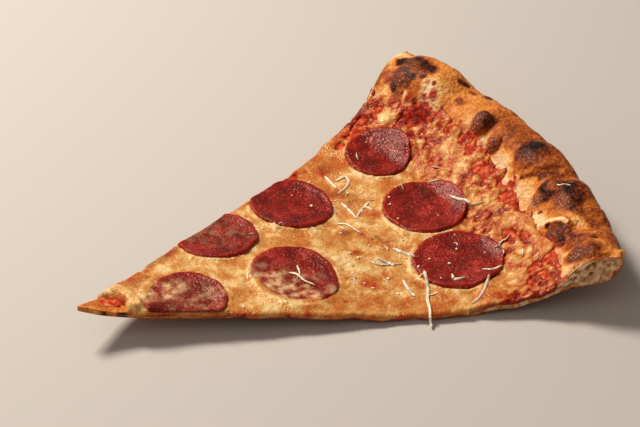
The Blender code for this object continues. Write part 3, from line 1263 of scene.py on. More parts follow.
        bake = self.bake(places, u, v, level, angle, rise, outside, underneath, ragged)
        # Painted shade: the deepest parts of the crumb's holes take the colour of dark brown skin.
        shaded_hole = crumb * (1.0 - smooth_step(holes, 0.12, 0.30)) * smooth_step(skin_depth, 0.5, 1.2)
        # Thin crumb near the tip has toasted to the colour of the skin.
        crumb *= 1.0 - 0.75 * (1.0 - smooth_step(level, 60.0, 120.0))
        # Painted shade in the holes: less pale crumb colour there.
        crumb *= 1.0 - 0.7 * shaded_hole
        # Oil and sauce have stained the skin round their border.
        beyond = self.toppings.past_border(u, v)
        stain = (0.42 + 0.9 * unevenness(Pattern.CLOUDS, places, 3.2, seed=8)) * (beyond < 20.0)
        stain = np.maximum(stain, 0.0) * (1.0 - smooth_step(beyond, -1.0, 4.5))
        stain = np.where(level < 60.0, 0.3 * Patch(14.5, 1.0, 9.0, 5.0).cover(u, v, ragged), stain)
        attributes = {
            "bake": np.where(shaded_hole > 0.3, np.maximum(bake, 0.68), bake),
            "crumb": crumb,
            # The cracked plates, and with them the painted highlight on the bubbles' lit sides.
            "ash_and_sheen": painted(np.zeros(len(u)), self.cracked_and_sheen, u, v, ragged) * skin * ~underneath,
            "tomato": painted(stain, self.specks, u, v, ragged) * skin * ~underneath,
        }
        move_points(bm, places)
        push_out(bm, swell)
        self.keep_in_frame(bm)
        piece = finish_piece("dough_and_crust", bm, finish.make(), attributes)
        join_frame(piece, "baked_dough", "dough")
        return piece

    def bake(
        self,
        places: np.ndarray,
        u: np.ndarray,
        v: np.ndarray,
        level: np.ndarray,
        angle: np.ndarray,
        rise: np.ndarray,
        outside: np.ndarray,
        underneath: np.ndarray,
        ragged: np.ndarray,
    ) -> np.ndarray:
        """Works out how far the skin is baked.

        Args:
            places: Where the points are.
            u: Distances from the tip.
            v: Distances from the middle line.
            level: Radii that follow the foot of the rim.
            angle: Not used.
            rise: Shares of the way from underside to top.
            outside: Which points are on the rim's outside.
            underneath: Which points are on the underside.
            ragged: Unevenness of the charred places' outlines.

        Returns:
            0 for pale dough to 1 for black.
        """
        slope = 0.12 + 0.34 * smooth_step(level, 199.0, 211.0)
        slope += 0.08 * smooth_step(v, 24.0, 50.0) * (1.0 - smooth_step(level, 206.0, 212.0))
        wall = 0.46 + 0.14 * (1.0 - smooth_step(rise, 0.55, 1.0))
        bake = np.where(outside, wall, slope)
        bake = np.where(level < 60.0, 0.34, bake)
        bake += (0.17 + 0.08 * (v > 24.0)) * unevenness(Pattern.CLOUDS, places, 7.0, seed=6)
        bake += 0.12 * unevenness(Pattern.CLOUDS, places, 2.8, seed=9) * (v > 28.0)
        bake = painted(bake, self.baked, u, v, ragged)
        spots = unevenness(Pattern.CLOUDS, places, 7.0, seed=7)
        below = 0.46 + 0.4 * smooth_step(spots, 0.1, 0.45)
        below = np.where(rise < 0.14, np.maximum(below, 0.6), below)
        low = 1.0 - smooth_step(rise, 0.05, 0.2)
        return np.where(underneath, below, bake + (below - bake) * low)

    def keep_in_frame(self, bm: bmesh.types.BMesh) -> None:
        """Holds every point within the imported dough's own box."""
        low, high = (np.array(corner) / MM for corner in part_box("dough"))
        move_points(bm, np.clip(coordinates(bm), low, high))


# --- Sausage -----------------------------------------------------------------------------------------------
@dataclass(frozen=True)
class Round:
    """One round of sausage, by the place of its centre and its half sizes."""

    u: float
    v: float
    half_length: float
    half_width: float
    tilt: float = 0.0

    def out(self, u: np.ndarray, v: np.ndarray) -> np.ndarray:
        """Distance from the centre as a share of the way to the edge."""
        return np.hypot((u - self.u) / self.half_length, (v - self.v) / self.half_width)


@dataclass(frozen=True)
class Toppings:
    """Heights of sauce, cheese and sausage above the dough, and which cheese covers what.

    Attributes:
        sauce_top: Height of the sauce's top.
        cheese_top: Height of the cheese's mean top.
        sausage_centre: Height of a round's top at its centre.
        sausage_rim: Height of a round's top at its rim.
        lap_height: Height of the cheese that laps over a round's edge.
        spread_to: How far from the tip sauce and cheese reach, at angles from the near cut to the far one.
        rounds: The rounds of sausage.
        films: Where cheese has run over a round.
    """

    sauce_top: float = 0.8
    cheese_top: float = 2.1
    sausage_bottom: float = 1.3
    sausage_centre: float = 2.4
    sausage_rim: float = 3.9
    lap_height: float = 2.4
    spread_to: Stations = (
        (-23.4, 197.0),
        (-21.5, 199.0),
        (-16.6, 200.0),
        (-12.0, 197.7),
        (-7.5, 198.8),
        (-5.0, 201.0),
        (-2.0, 201.0),
        (0.5, 203.2),
        (4.0, 205.4),
        (10.0, 205.0),
        (13.0, 206.0),
        (15.3, 204.6),
        (18.6, 200.4),
        (23.4, 199.0),
    )
    rounds: tuple[Round, ...] = (
        Round(43.5, -10.0, 17.5, 16.5),
        Round(76.0, 25.0, 17.6, 16.6),
        Round(117.2, 33.8, 17.8, 18.4),
        Round(92.8, -13.8, 17.4, 19.6),
        Round(170.0, 47.6, 14.4, 15.0),
        Round(167.8, 4.4, 18.0, 18.2),
        Round(160.0, -35.0, 19.2, 18.8),
    )
    films: tuple[Patch, ...] = (
        Patch(34.0, -1.0, 13.0, 7.0, -12.0, 0.72, 0.5),
        Patch(80.0, -24.0, 24.0, 15.0, -52.0, 0.78, 0.6),
        Patch(78.0, 26.0, 14.0, 9.0, -10.0, 0.16, 0.8),
        Patch(50.0, -14.0, 12.0, 8.0, 0.0, 0.25, 0.8),
    )

    def past_border(self, u: np.ndarray, v: np.ndarray) -> np.ndarray:
        """How far beyond the uneven border of sauce and cheese each point is.

        Args:
            u: Distances from the tip along the middle line.
            v: Distances from the middle line.

        Returns:
            Millimetres, negative within the border.
        """
        plan = np.column_stack([u, v])
        border = curve_through(self.spread_to, np.degrees(np.arctan2(v, u)))
        border += 1.7 * unevenness(Pattern.CLOUDS, plan, 6.0, seed=40)
        return np.hypot(u, v) - border

    def nearest_out(self, u: np.ndarray, v: np.ndarray) -> np.ndarray:
        """Distance from the nearest round's centre, as a share of the way to its edge."""
        return np.min([r.out(u, v) for r in self.rounds], axis=0)


@dataclass(frozen=True)
class Sausage:
    """The rounds of sausage, each spun from its section, cut where a side of the slice cuts it.

    Attributes:
        form: The slice's form.
        toppings: Where the rounds lie.
        steps: Points around a round.
        rings: Points from its centre to its rim.
    """

    form: SliceForm
    toppings: Toppings
    steps: int = 132
    rings: int = 34
    side_rings: int = 4
    grain: float = 0.07
    wrinkle: float = 0.05
    warp: float = 0.28

    def disc(self) -> bmesh.types.BMesh:
        """Spins the outline of a flat round of unit radius and thickness.

        Returns:
            A closed disc from z 0 to z 1.
        """
        bm = bmesh.new()
        coarse = self.rings // 4
        outline = [bm.verts.new((i / coarse, 0.0, 0.0)) for i in range(coarse + 1)]
        outline += [bm.verts.new((1.0, 0.0, i / self.side_rings)) for i in range(1, self.side_rings)]
        outline += [bm.verts.new((i / self.rings, 0.0, 1.0)) for i in range(self.rings, -1, -1)]
        edges = [bm.edges.new(pair) for pair in zip(outline, outline[1:])]
        bmesh.ops.spin(
            bm,
            geom=outline + edges,
            cent=(0, 0, 0),
            axis=(0, 0, 1),
            angle=2.0 * math.pi,
            steps=self.steps,
            use_merge=True,
        )
        bmesh.ops.remove_doubles(bm, verts=bm.verts, dist=1e-5)
        return bm

    def cut_sides(self, bm: bmesh.types.BMesh) -> None:
        """Cuts a round off at both sides of the slice and closes it there."""
        for side in (-1.0, 1.0):
            turn = side * math.radians(self.form.half_angle)
            off = Vector((-math.sin(turn) * side, math.cos(turn) * side, 0.0))
            everything = list(bm.verts) + list(bm.edges) + list(bm.faces)
            bmesh.ops.bisect_plane(
                bm, geom=everything, dist=0.001, plane_co=(0, 0, 0), plane_no=off, clear_outer=True
            )
            border = [edge for edge in bm.edges if edge.is_boundary]
            if border:
                filled = bmesh.ops.edgeloop_fill(bm, edges=border)
                bmesh.ops.triangulate(bm, faces=filled["faces"])

    def build_round(self, number: int, finish: bpy.types.Material) -> bpy.types.Object:
        """Builds and dresses one round.

        Args:
            number: Its number, from 1.
            finish: The sausage's finish.

        Returns:
            The piece.
        """
        size = self.toppings.rounds[number - 1]
        bm = self.disc()
        for vert in bm.verts:
            vert.co.x = size.u + vert.co.x * size.half_length
            vert.co.y = size.v + vert.co.y * size.half_width
        self.cut_sides(bm)
        u, v, share = coordinates(bm).T
        out = size.out(u, v)
        level, angle = self.form.level_at(u, v)
        around = np.arctan2(v - size.v, u - size.u)
        plan = np.column_stack([u, v])
        top = self.toppings.sausage_centre
        top += (self.toppings.sausage_rim - self.toppings.sausage_centre) * out**3
        top -= 0.35 * smooth_step(out, 0.93, 1.0)
        top += self.warp * np.sin(2.0 * around + 1.7 * number) * out**2
        top += self.warp * 0.5 * np.sin(5.0 * around + 2.9 * number) * out**4
        top += 0.22 * unevenness(Pattern.CLOUDS, plan, 5.0, seed=10 + number)
        top += self.grain * unevenness(Pattern.CLOUDS, plan, 1.2, seed=20 + number)
        wrinkle = 28.0 * out + 5.0 * unevenness(Pattern.CLOUDS, plan, 8.0, seed=25 + number)
        top += self.wrinkle * np.sin(wrinkle) * smooth_step(out, 0.2, 0.5)
        ragged = 0.3 * unevenness(Pattern.CLOUDS, plan, 6.0, seed=60)
        veil = np.max([film.value * film.cover(u, v, ragged) for film in self.toppings.films], axis=0)
        top -= 1.5 * smooth_step(veil, 0.3, 0.9) * out**3
        height = self.toppings.sausage_bottom + (top - self.toppings.sausage_bottom) * share
        height += self.form.dough_top(level, angle)
        places = self.form.place(level, angle, height)
        # The outline wanders a little, and the side bellies out.
        wander = 0.8 * unevenness(Pattern.CLOUDS, plan, 9.0, seed=30 + number)
        wander += 0.3 * unevenness(Pattern.CLOUDS, plan, 2.6, seed=70 + number)
        belly = 0.25 * np.sin(np.pi * share)
        grow = (wander + belly) * smooth_step(out, 0.6, 1.0)
        places[:, 0] += np.cos(around) * grow
        places[:, 1] += np.sin(around) * grow
        move_points(bm, places)
        bmesh.ops.recalc_face_normals(bm, faces=bm.faces)
        # Where the painted glow of light through the thin edge lies: the rim, less up its side.
        edge = smooth_step(out, 0.86, 1.0) * (1.0 - 0.4 * share)
        edge *= 0.75 + unevenness(Pattern.CLOUDS, plan, 7.0, seed=61)
        froth = smooth_step(np.cos(around - math.pi - 0.4), 0.3, 0.8) * smooth_step(out, 0.96, 0.99)
        froth *= (1.0 - share) * smooth_step(unevenness(Pattern.CLOUDS, plan, 2.5, seed=62), -0.2, 0.2)
        veil = np.maximum(veil, froth)
        piece = finish_piece(f"pepperoni_round_{number}", bm, finish, {"edge": edge, "film": veil})
        join_frame(piece, "pepperoni_sausage", f"pepperoni_{number}")
        return piece

    def build(self, finish: CuredSausage) -> list[bpy.types.Object]:
        """Builds every round.

        Args:
            finish: The sausage's finish.

        Returns:
            The pieces.
        """
        material = finish.make()
        return [self.build_round(i + 1, material) for i in range(len(self.toppings.rounds))]


# --- Sauce and cheese ---------------------------------------------------------------------------------------
@dataclass(frozen=True)
class Sheet:
    """A thin wedge-shaped layer on the slice, made of a fine triangular net.

    Attributes:
        form: The slice's form.
        toppings: Heights of the layers.
        rows: Rows of the net from the tip out.
        outer: Level of its last row.
        drape: How far past a cut the net runs before it is trimmed.
        roll: Radius at which it turns down over the cut.
        inset: How far it stays back from the cuts.
    """

    form: SliceForm
    toppings: Toppings
    rows: int = 290
    outer: float = 207.0
    drape: float = 3.6
    roll: float = 1.1
    inset: float = 0.0

    def net(self) -> bmesh.types.BMesh:
        """Makes a triangle cut into a fine net, its corner at the tip.

        Returns:
            A flat mesh whose x is the share of the way out and whose y / x is the share of the way across.
        """
        bm = bmesh.new()
        bmesh.ops.create_circle(bm, cap_ends=True, radius=1.0, segments=3)
        corners = ((0.0, 0.0, 0.0), (1.0, 0.0, 0.0), (1.0, 1.0, 0.0))
        for vert, corner in zip(bm.verts, corners):
            vert.co = corner
        bmesh.ops.subdivide_edges(bm, edges=bm.edges[:], cuts=self.rows - 1, use_grid_fill=True)
        return bm

    def spread(self, bm: bmesh.types.BMesh) -> tuple[np.ndarray, np.ndarray, np.ndarray]:
        """Reads where the net's points lie on the slice.

        Args:
            bm: The net.

        Returns:
            Levels, angles, and how far past a cut each point is, negative at the near cut.
        """
        x, y, _ = coordinates(bm).T
        level = np.maximum(x * self.outer, self.form.tip_radius)
        half = np.radians(self.form.half_angle) * level
        half = np.maximum(half - self.inset, 0.5 * half)
        reach = half + np.minimum(self.drape, 0.25 * level)
        swing = (2.0 * y / np.maximum(x, 1e-9) - 1.0) * reach
        past = np.sign(swing) * np.maximum(0.0, np.abs(swing) - half)
        angle = np.degrees((swing - past) / level)
        return level, angle, past

    def lay(
        self, level: np.ndarray, angle: np.ndarray, past: np.ndarray, base: np.ndarray, lift: np.ndarray
    ) -> np.ndarray:
        """Lays points on the slice, turning down over the cuts.

        Args:
            level: Levels.
            angle: Angles.
            past: How far past a cut each point is.
            base: Height above the dough of the surface that the sheet lies on.
            lift: Height of each point above that surface, along its normal.

        Returns:
            Places in the part's frame, in millimetres.
        """
        turn = np.minimum(np.abs(past) / self.roll, np.pi / 2.0)
        below = np.maximum(0.0, np.abs(past) - self.roll * np.pi / 2.0)
        outward = self.roll * np.sin(turn) + lift * np.sin(turn)
        height = self.form.dough_top(level, angle) + base
        height += lift * np.cos(turn) - self.roll * (1.0 - np.cos(turn)) - below
        places = self.form.place(level, angle, height)
        heading = np.radians(angle + 90.0 * np.sign(past))
        places[:, 0] += np.cos(heading) * outward
        places[:, 1] += np.sin(heading) * outward
        return places

    def trim_and_close(self, bm: bmesh.types.BMesh, cover: np.ndarray) -> None:
        """Deletes the net's bare parts, eases its border and gives it a second face.

        Args:
            bm: The net, which gains an upper face at z 1.
            cover: How thick the sheet is at each point, below 0 where there is none.
        """
        bm.verts.index_update()
        bare = [f for f in bm.faces if max(cover[vert.index] for vert in f.verts) < 0.0]
        bmesh.ops.delete(bm, geom=bare, context="FACES")
        loose = [vert for vert in bm.verts if not vert.link_faces]
        bmesh.ops.delete(bm, geom=loose, context="VERTS")
        border = [vert for vert in bm.verts if vert.is_boundary]
        for _ in range(2):
            bmesh.ops.smooth_vert(
                bm, verts=border, factor=0.5, use_axis_x=True, use_axis_y=True, use_axis_z=False
            )
        made = bmesh.ops.extrude_face_region(bm, geom=bm.faces[:])
        upper = [item for item in made["geom"] if isinstance(item, bmesh.types.BMVert)]
        bmesh.ops.translate(bm, verts=upper, vec=(0.0, 0.0, 1.0))


# Places where sauce stands bare and raised among the cheese.
SAUCE_CLUMPS = (
    Streak(((188.5, 56.1), (193.0, 56.3), (195.2, 53.5), (195.6, 50.0)), 3.0, 1.0),
    Patch(192.2, 52.0, 2.4, 2.0),
    Patch(201.6, 18.5, 3.4, 3.0),
    Patch(198.7, 10.0, 2.6, 3.4),
    Patch(197.9, 4.0, 3.0, 3.6),
    Patch(200.3, 35.8, 2.2, 2.6),
    Patch(200.6, 27.7, 2.4, 2.6),
    Patch(196.5, -15.9, 2.8, 3.0),
    Patch(196.9, -23.2, 2.6, 2.6),
    Patch(190.3, -41.0, 2.0, 3.0),
    Patch(185.6, -34.6, 2.4, 3.4),
    Patch(187.5, -62.0, 2.4, 3.0),
    Patch(181.0, -60.0, 2.6, 2.2),
    Patch(180.9, -66.9, 1.8, 3.0),
    Patch(169.2, 66.4, 4.0, 2.6, 20.0),
    Patch(174.6, 70.6, 2.8, 2.0, 20.0),
    Patch(165.3, 64.6, 2.4, 1.8),
    Patch(182.0, 70.0, 2.0, 2.6),
    Patch(158.5, 62.2, 3.0, 1.8, 22.0),
    Patch(127.7, 53.0, 3.4, 1.8, 22.0),
    Patch(180.8, 66.4, 1.2, 3.0),
)


@dataclass(frozen=True)
class Sauce(Sheet):
    """Tomato sauce under the cheese, bare in a broken band inside the rim and at the tip.

    Attributes:
        pulp: Height of its pulp.
        clump_rise: How far a bare clump stands above it.
        at_tip: Where it shows at the tip.
    """

    rows: int = 240
    outer: float = 204.0
    drape: float = 0.0
    inset: float = 0.5
    pulp: float = 0.3
    clump_rise: float = 0.9
    at_tip: Patch = Patch(16.4, 1.6, 6.0, 4.4, edge=0.4)

    def build(self, finish: TomatoSauce) -> bpy.types.Object:
        """Builds and dresses the sauce.

        Args:
            finish: The sauce's finish.

        Returns:
            The piece.
        """
        bm = self.net()
        level, angle, past = self.spread(bm)
        u, v = self.form.plan(level, angle)
        cover = np.minimum(3.0 - self.toppings.past_border(u, v), level - 8.5)
        to_cut = np.radians(self.form.half_angle - np.abs(angle)) * level
        cover = np.minimum(cover, to_cut - 1.4 * (1.0 - smooth_step(level, 18.0, 30.0)))
        self.trim_and_close(bm, cover)

        level, angle, past = self.spread(bm)
        u, v = self.form.plan(level, angle)
        upper = coordinates(bm)[:, 2]
        plan = np.column_stack([u, v + past])
        ragged = 0.35 * unevenness(Pattern.CLOUDS, plan, 2.6, seed=41)
        clumps = painted(np.zeros(len(u)), SAUCE_CLUMPS, u, v, ragged)
        grains = unevenness(Pattern.CLOUDS, plan, 2.4, seed=42)
        berries = 1.0 - (unevenness(Pattern.CELLS, plan, 1.9, seed=44) / 0.6) ** 2
        lift = self.toppings.sauce_top + self.pulp * grains
        lift += self.clump_rise * clumps * (0.5 + 0.4 * grains + 0.5 * np.maximum(berries, 0.0))
        # It thins out to nothing, below the dough's skin, so that its border is soft.
        sunk = smooth_step(self.toppings.past_border(u, v), -3.0, 2.5)
        at_tip = self.at_tip.cover(u, v, ragged)
        sunk = np.maximum(sunk, (1.0 - at_tip) * (1.0 - smooth_step(level, 22.0, 27.0)))
        lift = np.maximum(lift, 0.2) * (1.0 - sunk) - 0.5 * sunk
        lower = np.minimum(lift, 0.0) - 0.3
        places = self.lay(level, angle, past, np.zeros(len(u)), np.where(upper > 0.5, lift, lower))
        move_points(bm, places)
        bmesh.ops.recalc_face_normals(bm, faces=bm.faces)
        dark = smooth_step(unevenness(Pattern.CLOUDS, plan, 5.0, seed=43), 0.0, 0.6)
        dark = painted(0.5 * dark, SAUCE_CLUMPS[:2], u, v, ragged)
        piece = finish_piece("tomato_sauce_layer", bm, finish.make(), {"dark": dark})
        join_frame(piece, "tomato_sauce", "sauce")
        return piece


@dataclass(frozen=True)
class Cheese(Sheet):
    """Melted cheese: mottled, bubbled, thin in a broken band inside the rim, run down at the cuts.

    Attributes:
        lump: Height of its broad lumps.
        ripple: Height of its small ripples.
    """

    lump: float = 0.4
    lump_size: float = 7.0
    ripple: float = 0.2
    ripple_size: float = 2.4
    # Thick cheese that stands up, and how far.
    mounds: tuple[Patch | Streak, ...] = (
        Streak(((14.0, 5.6), (18.0, 6.8)), 1.5, 0.5),
        Streak(((20.0, 6.0), (22.8, 2.0), (24.0, -2.5), (22.5, -6.5)), 3.2, 2.2),
        Patch(29.5, 1.5, 3.0, 4.5, value=0.8),
        Streak(((195.0, -33.0), (192.8, -40.0), (191.5, -49.0), (190.0, -56.5)), 3.0, 0.2),
        Streak(((200.0, 43.0), (200.4, 38.5)), 2.6, 0.1),
        Streak(((200.6, 33.0), (201.2, 30.0)), 2.0, 0.1),
        Streak(((201.2, 15.0), (201.2, 13.0)), 2.0, 0.1),
        Patch(183.2, 63.8, 4.4, 3.6, value=0.6, edge=0.9),
        Patch(192.5, 14.6, 4.0, 4.4, value=0.2, edge=0.9),
        Patch(197.4, 15.3, 3.0, 3.0, value=0.1, edge=0.9),
        Patch(194.2, 28.0, 4.0, 5.0, value=0.1, edge=0.9),
        Patch(191.6, -28.6, 4.4, 4.2, value=0.3, edge=0.9),
        Patch(201.4, -2.8, 2.3, 2.3, value=0.5, edge=0.6),
        Patch(193.0, 3.8, 2.8, 2.8, value=0.45, edge=0.6),
        Patch(173.0, -59.5, 4.0, 3.0, value=0.3, edge=0.9),
        Patch(116.2, 11.0, 1.8, 1.4, value=0.7),
        Patch(115.5, -9.8, 1.6, 1.6, value=0.7),
        Patch(118.8, -16.0, 1.6, 1.2, value=0.7),
        Patch(102.5, 20.9, 1.6, 2.2, value=0.7),
        Streak(((184.0, 46.0), (185.6, 42.5), (184.5, 39.6)), 1.3, 0.8),
    )
    # How far sauce and oil show through: 0 is cream, 0.35 tan, 0.6 orange, 0.8 orange-red and 1 red.
    tones: tuple[Patch | Streak, ...] = (
        Streak(((14.0, 5.6), (20.0, 5.8), (22.8, 2.5), (24.0, -2.5), (21.5, -5.5)), 2.8, 0.12),
        Patch(116.2, 11.0, 3.0, 2.6, value=0.02, edge=0.6),
        Patch(115.5, -9.8, 2.6, 2.6, value=0.02, edge=0.6),
        Patch(118.8, -16.0, 2.6, 2.2, value=0.02, edge=0.6),
        Patch(102.5, 20.9, 2.6, 3.4, value=0.05, edge=0.6),
        Patch(128.0, 5.4, 5.0, 2.4, value=0.66, edge=0.7),
        Patch(123.0, 3.0, 7.0, 4.0, value=0.40, edge=0.7),
        Patch(105.9, 6.0, 4.0, 3.0, value=0.60, edge=0.7),
        Patch(125.0, -9.0, 2.8, 2.0, value=0.66, edge=0.7),
        Patch(148.1, 10.7, 5.4, 2.6, -30.0, 0.66, 0.7),
        Patch(119.4, -29.3, 5.0, 4.4, value=0.72, edge=0.7),
        Patch(139.0, 33.0, 8.0, 3.6, -45.0, 0.60, 0.7),
        Patch(143.6, 51.6, 6.0, 4.4, 20.0, 0.72, 0.7),
        Patch(136.0, 36.0, 4.0, 8.0, 0.0, 0.55, 0.7),
        Patch(152.0, 52.0, 6.0, 5.0, 20.0, 0.62, 0.7),
        Patch(160.0, 26.0, 8.0, 5.0, 0.0, 0.56, 0.7),
        Patch(152.0, 27.6, 6.0, 5.0, value=0.14, edge=0.9),
        Patch(155.0, 52.0, 5.0, 5.0, value=0.62, edge=0.9),
        Patch(106.0, 10.5, 7.0, 5.0, 0.0, 0.50, 0.9),
        Patch(186.0, 24.0, 8.0, 9.0, 0.0, 0.58, 0.7),
        Streak(((195.0, -33.0), (192.8, -40.0), (191.5, -49.0), (190.0, -56.5)), 3.6, 0.46),
        Streak(((200.0, 43.0), (200.4, 38.5)), 3.0, 0.50),
        Streak(((200.6, 33.0), (201.2, 30.0)), 2.6, 0.52),
        Streak(((201.2, 15.0), (201.2, 13.0)), 2.4, 0.45),
        Patch(183.2, 63.8, 4.6, 3.8, value=0.15, edge=0.5),
        Patch(192.5, 14.1, 3.6, 4.0, value=0.28, edge=0.5),
        Patch(197.4, 15.1, 2.8, 2.8, value=0.55, edge=0.5),
        Patch(194.2, 27.8, 3.6, 4.6, value=0.36, edge=0.5),
        Patch(191.6, -28.4, 5.0, 4.6, value=0.42, edge=0.5),
        Patch(201.4, -2.8, 3.0, 3.0, value=0.84, edge=0.4),
        Patch(201.4, -2.8, 1.6, 1.6, value=0.5, edge=0.6),
        Patch(193.0, 3.7, 3.8, 3.8, value=0.80, edge=0.4),
        Patch(193.0, 3.7, 2.0, 2.0, value=0.50, edge=0.6),
        Patch(186.0, -4.0, 6.0, 6.0, value=0.30, edge=0.7),
        Patch(190.0, -12.0, 4.0, 5.0, value=0.26, edge=0.7),
        Patch(182.0, -52.0, 5.0, 5.0, value=0.26, edge=0.8),
        Patch(172.9, -59.5, 5.0, 3.6, value=0.12, edge=0.8),
        Patch(178.0, -64.0, 3.0, 3.0, value=0.78, edge=0.6),
        Patch(201.9, 42.0, 3.4, 4.0, value=0.66, edge=0.5),
        Patch(202.9, 37.7, 2.6, 2.6, value=0.72, edge=0.5),
    )
    # Toasted brown, from a soft tan to a dark spot, and three brown streaks of painted shade beside folds and a
    # bump in the cheese.
    toast_and_shade: tuple[Patch | Streak, ...] = (
        # Painted shade: a brown streak where a fold in the cheese casts shade.
        Streak(((131.5, 38.5), (137.0, 33.0), (145.1, 28.0)), 2.4, 0.35),
        Patch(142.3, 24.1, 3.0, 2.0, value=0.45, edge=0.7),
        Patch(144.5, 51.8, 4.5, 3.6, 20.0, 0.35, 0.7),
        Patch(128.4, 5.0, 2.4, 1.4, value=0.5, edge=0.8),
        Patch(125.0, -9.0, 1.6, 1.2, value=0.5, edge=0.8),
        Streak(((196.0, 2.0), (195.6, 5.0)), 1.3, 0.6),
        # Painted shade: brown beside the cream bump near the tip.
        Streak(((35.0, 9.5), (30.0, 8.0), (27.5, 5.5)), 2.2, 0.4),
        Streak(((41.0, 17.0), (52.0, 21.5), (60.0, 25.0)), 2.2, 0.35),
        # Painted shade: a thin dark line where a fold in the cheese casts shade.
        Streak(((138.7, -1.0), (139.5, -7.7), (145.1, -8.5)), 0.9, 0.5),
    )

    def thickness(self, u: np.ndarray, v: np.ndarray, past: np.ndarray) -> np.ndarray:
        """Works out how thick the cheese is.

        Args:
            u: Distances from the tip.
            v: Distances from the middle line.
            past: How far past a cut each point is.

        Returns:
            The thickness above the sauce, below 0 where there is none.
        """
        toppings = self.toppings
        plan = np.column_stack([u, v + past])
        distance = np.hypot(u, v)
        mean = toppings.cheese_top - toppings.sauce_top
        thick = mean + self.lump * unevenness(Pattern.CLOUDS, plan, self.lump_size, seed=50, octaves=2)
        thick += self.ripple * unevenness(Pattern.CLOUDS, plan, self.ripple_size, seed=51)
        # In the band inside the rim it is a mosaic of small scraps, which sink out of sight at its border.
        beyond = toppings.past_border(u, v)
        broken = unevenness(Pattern.CLOUDS, plan, 3.4, seed=52)
        thick -= smooth_step(beyond, -32.0, -14.0) * (0.45 - 1.35 * broken)
        thick -= 1.7 * smooth_step(beyond, -4.0, 2.0)
        thick -= 3.0 * (1.0 - smooth_step(distance + 0.6 * v, 16.0, 21.0))
        ragged = 0.35 * unevenness(Pattern.CLOUDS, plan, 2.6, seed=41)
        thick -= 1.8 * painted(np.zeros(len(u)), SAUCE_CLUMPS, u, v, ragged)
        for mound in self.mounds:
            thick += (mean + mound.value - thick) * mound.cover(u, v, ragged)
        # Cheese stands a little higher where it bubbled against a round's edge, and thinner under it.
        out = toppings.nearest_out(u, v)
        thick += 0.35 * np.exp(-(((out - 1.08) / 0.06) ** 2)) + 0.5 * self.foam(u, v, plan)
        # Where it has run over a round it laps over its edge.
        veil = np.max([film.value * film.cover(u, v, ragged) for film in toppings.films], axis=0)
        lap = smooth_step(out, 0.82, 0.95) * (1.0 - smooth_step(out, 1.0, 1.3))
        thick += (toppings.lap_height - thick) * lap * smooth_step(veil, 0.3, 0.7)
        lapped = smooth_step(veil, 0.3, 0.7)
        under = 1.0 - smooth_step(out, 0.93 - 0.1 * lapped, 1.0 - 0.1 * lapped)
        thick += (np.minimum(thick, 0.7) - thick) * under
        # At the cuts the cheese has run down by an uneven length.
        run = 1.2 + 1.3 * unevenness(Pattern.CLOUDS, plan, 11.0, seed=53, octaves=2)
        near = (past < 0.0) & (distance > 62.0) & (distance < 160.0)
        run = np.where(near, run + 1.2, run)
        thick = np.where(past != 0.0, np.minimum(thick, 0.9 * (run - np.abs(past))), thick)
        return thick

    def foam(self, u: np.ndarray, v: np.ndarray, plan: np.ndarray) -> np.ndarray:
        """Cream froth that boiled up against the rounds, mostly on their side towards the tip.

        Args:
            u: Distances from the tip.
            v: Distances from the middle line.
            plan: The same places as rows.

        Returns:
            1 in the froth and 0 away from it.
        """
        froth = np.zeros(len(u))
        for r in self.toppings.rounds:
            towards_tip = (r.u - u + 0.3 * (r.v - v)) / np.hypot(r.half_length, r.half_width) * 1.4
            ring = np.exp(-(((r.out(u, v) - 1.07) / 0.04) ** 2))
            froth = np.maximum(froth, ring * smooth_step(towards_tip, 0.2, 0.7))
        return froth * smooth_step(unevenness(Pattern.CLOUDS, plan, 3.0, seed=55), -0.4, 0.1)

    def build(self, finish: MeltedCheese) -> bpy.types.Object:
        """Builds and dresses the cheese.

        Args:
            finish: The cheese's finish.

        Returns:
            The piece.
        """
        bm = self.net()
        level, angle, past = self.spread(bm)
        u, v = self.form.plan(level, angle)
        self.trim_and_close(bm, self.thickness(u, v, past) + 0.45)

        level, angle, past = self.spread(bm)
        u, v = self.form.plan(level, angle)
        upper = coordinates(bm)[:, 2] > 0.5
        thick = self.thickness(u, v, past)
        lift = np.where(upper, thick, np.minimum(thick, 0.0) - 0.25)
        beyond = self.toppings.past_border(u, v)
        base = self.toppings.sauce_top * (1.0 - smooth_step(beyond, -3.5, 1.5))
        places = self.lay(level, angle, past, base, lift)
        move_points(bm, places)
        bmesh.ops.recalc_face_normals(bm, faces=bm.faces)

        plan = np.column_stack([u, v + past])
        ragged = 0.35 * unevenness(Pattern.CLOUDS, plan, 2.6, seed=41)
        band = smooth_step(beyond, -36.0, -14.0)
        to_far_cut = self.form.half_angle - angle
        thin = 0.27 + 0.42 * band + 0.38 * (1.0 - smooth_step(thick, 0.1, 0.9))
        thin += 0.25 * (1.0 - smooth_step(to_far_cut * np.radians(1.0) * level, 1.0, 6.0))
        thin += 0.32 * unevenness(Pattern.CLOUDS, plan, 7.0, seed=54)
        mosaic = band * unevenness(Pattern.CLOUDS, plan, 3.0, seed=56)
        thin += 0.4 * mosaic
        spots = unevenness(Pattern.CELLS, plan, 8.0, seed=57)
        thin += 0.3 * (1.0 - smooth_step(spots, 0.06, 0.22))
        thin += 0.2 * smooth_step(np.abs(past), 0.0, 1.0)
        thin = painted(thin, self.tones, u, v, ragged)
        thin += 0.35 * mosaic
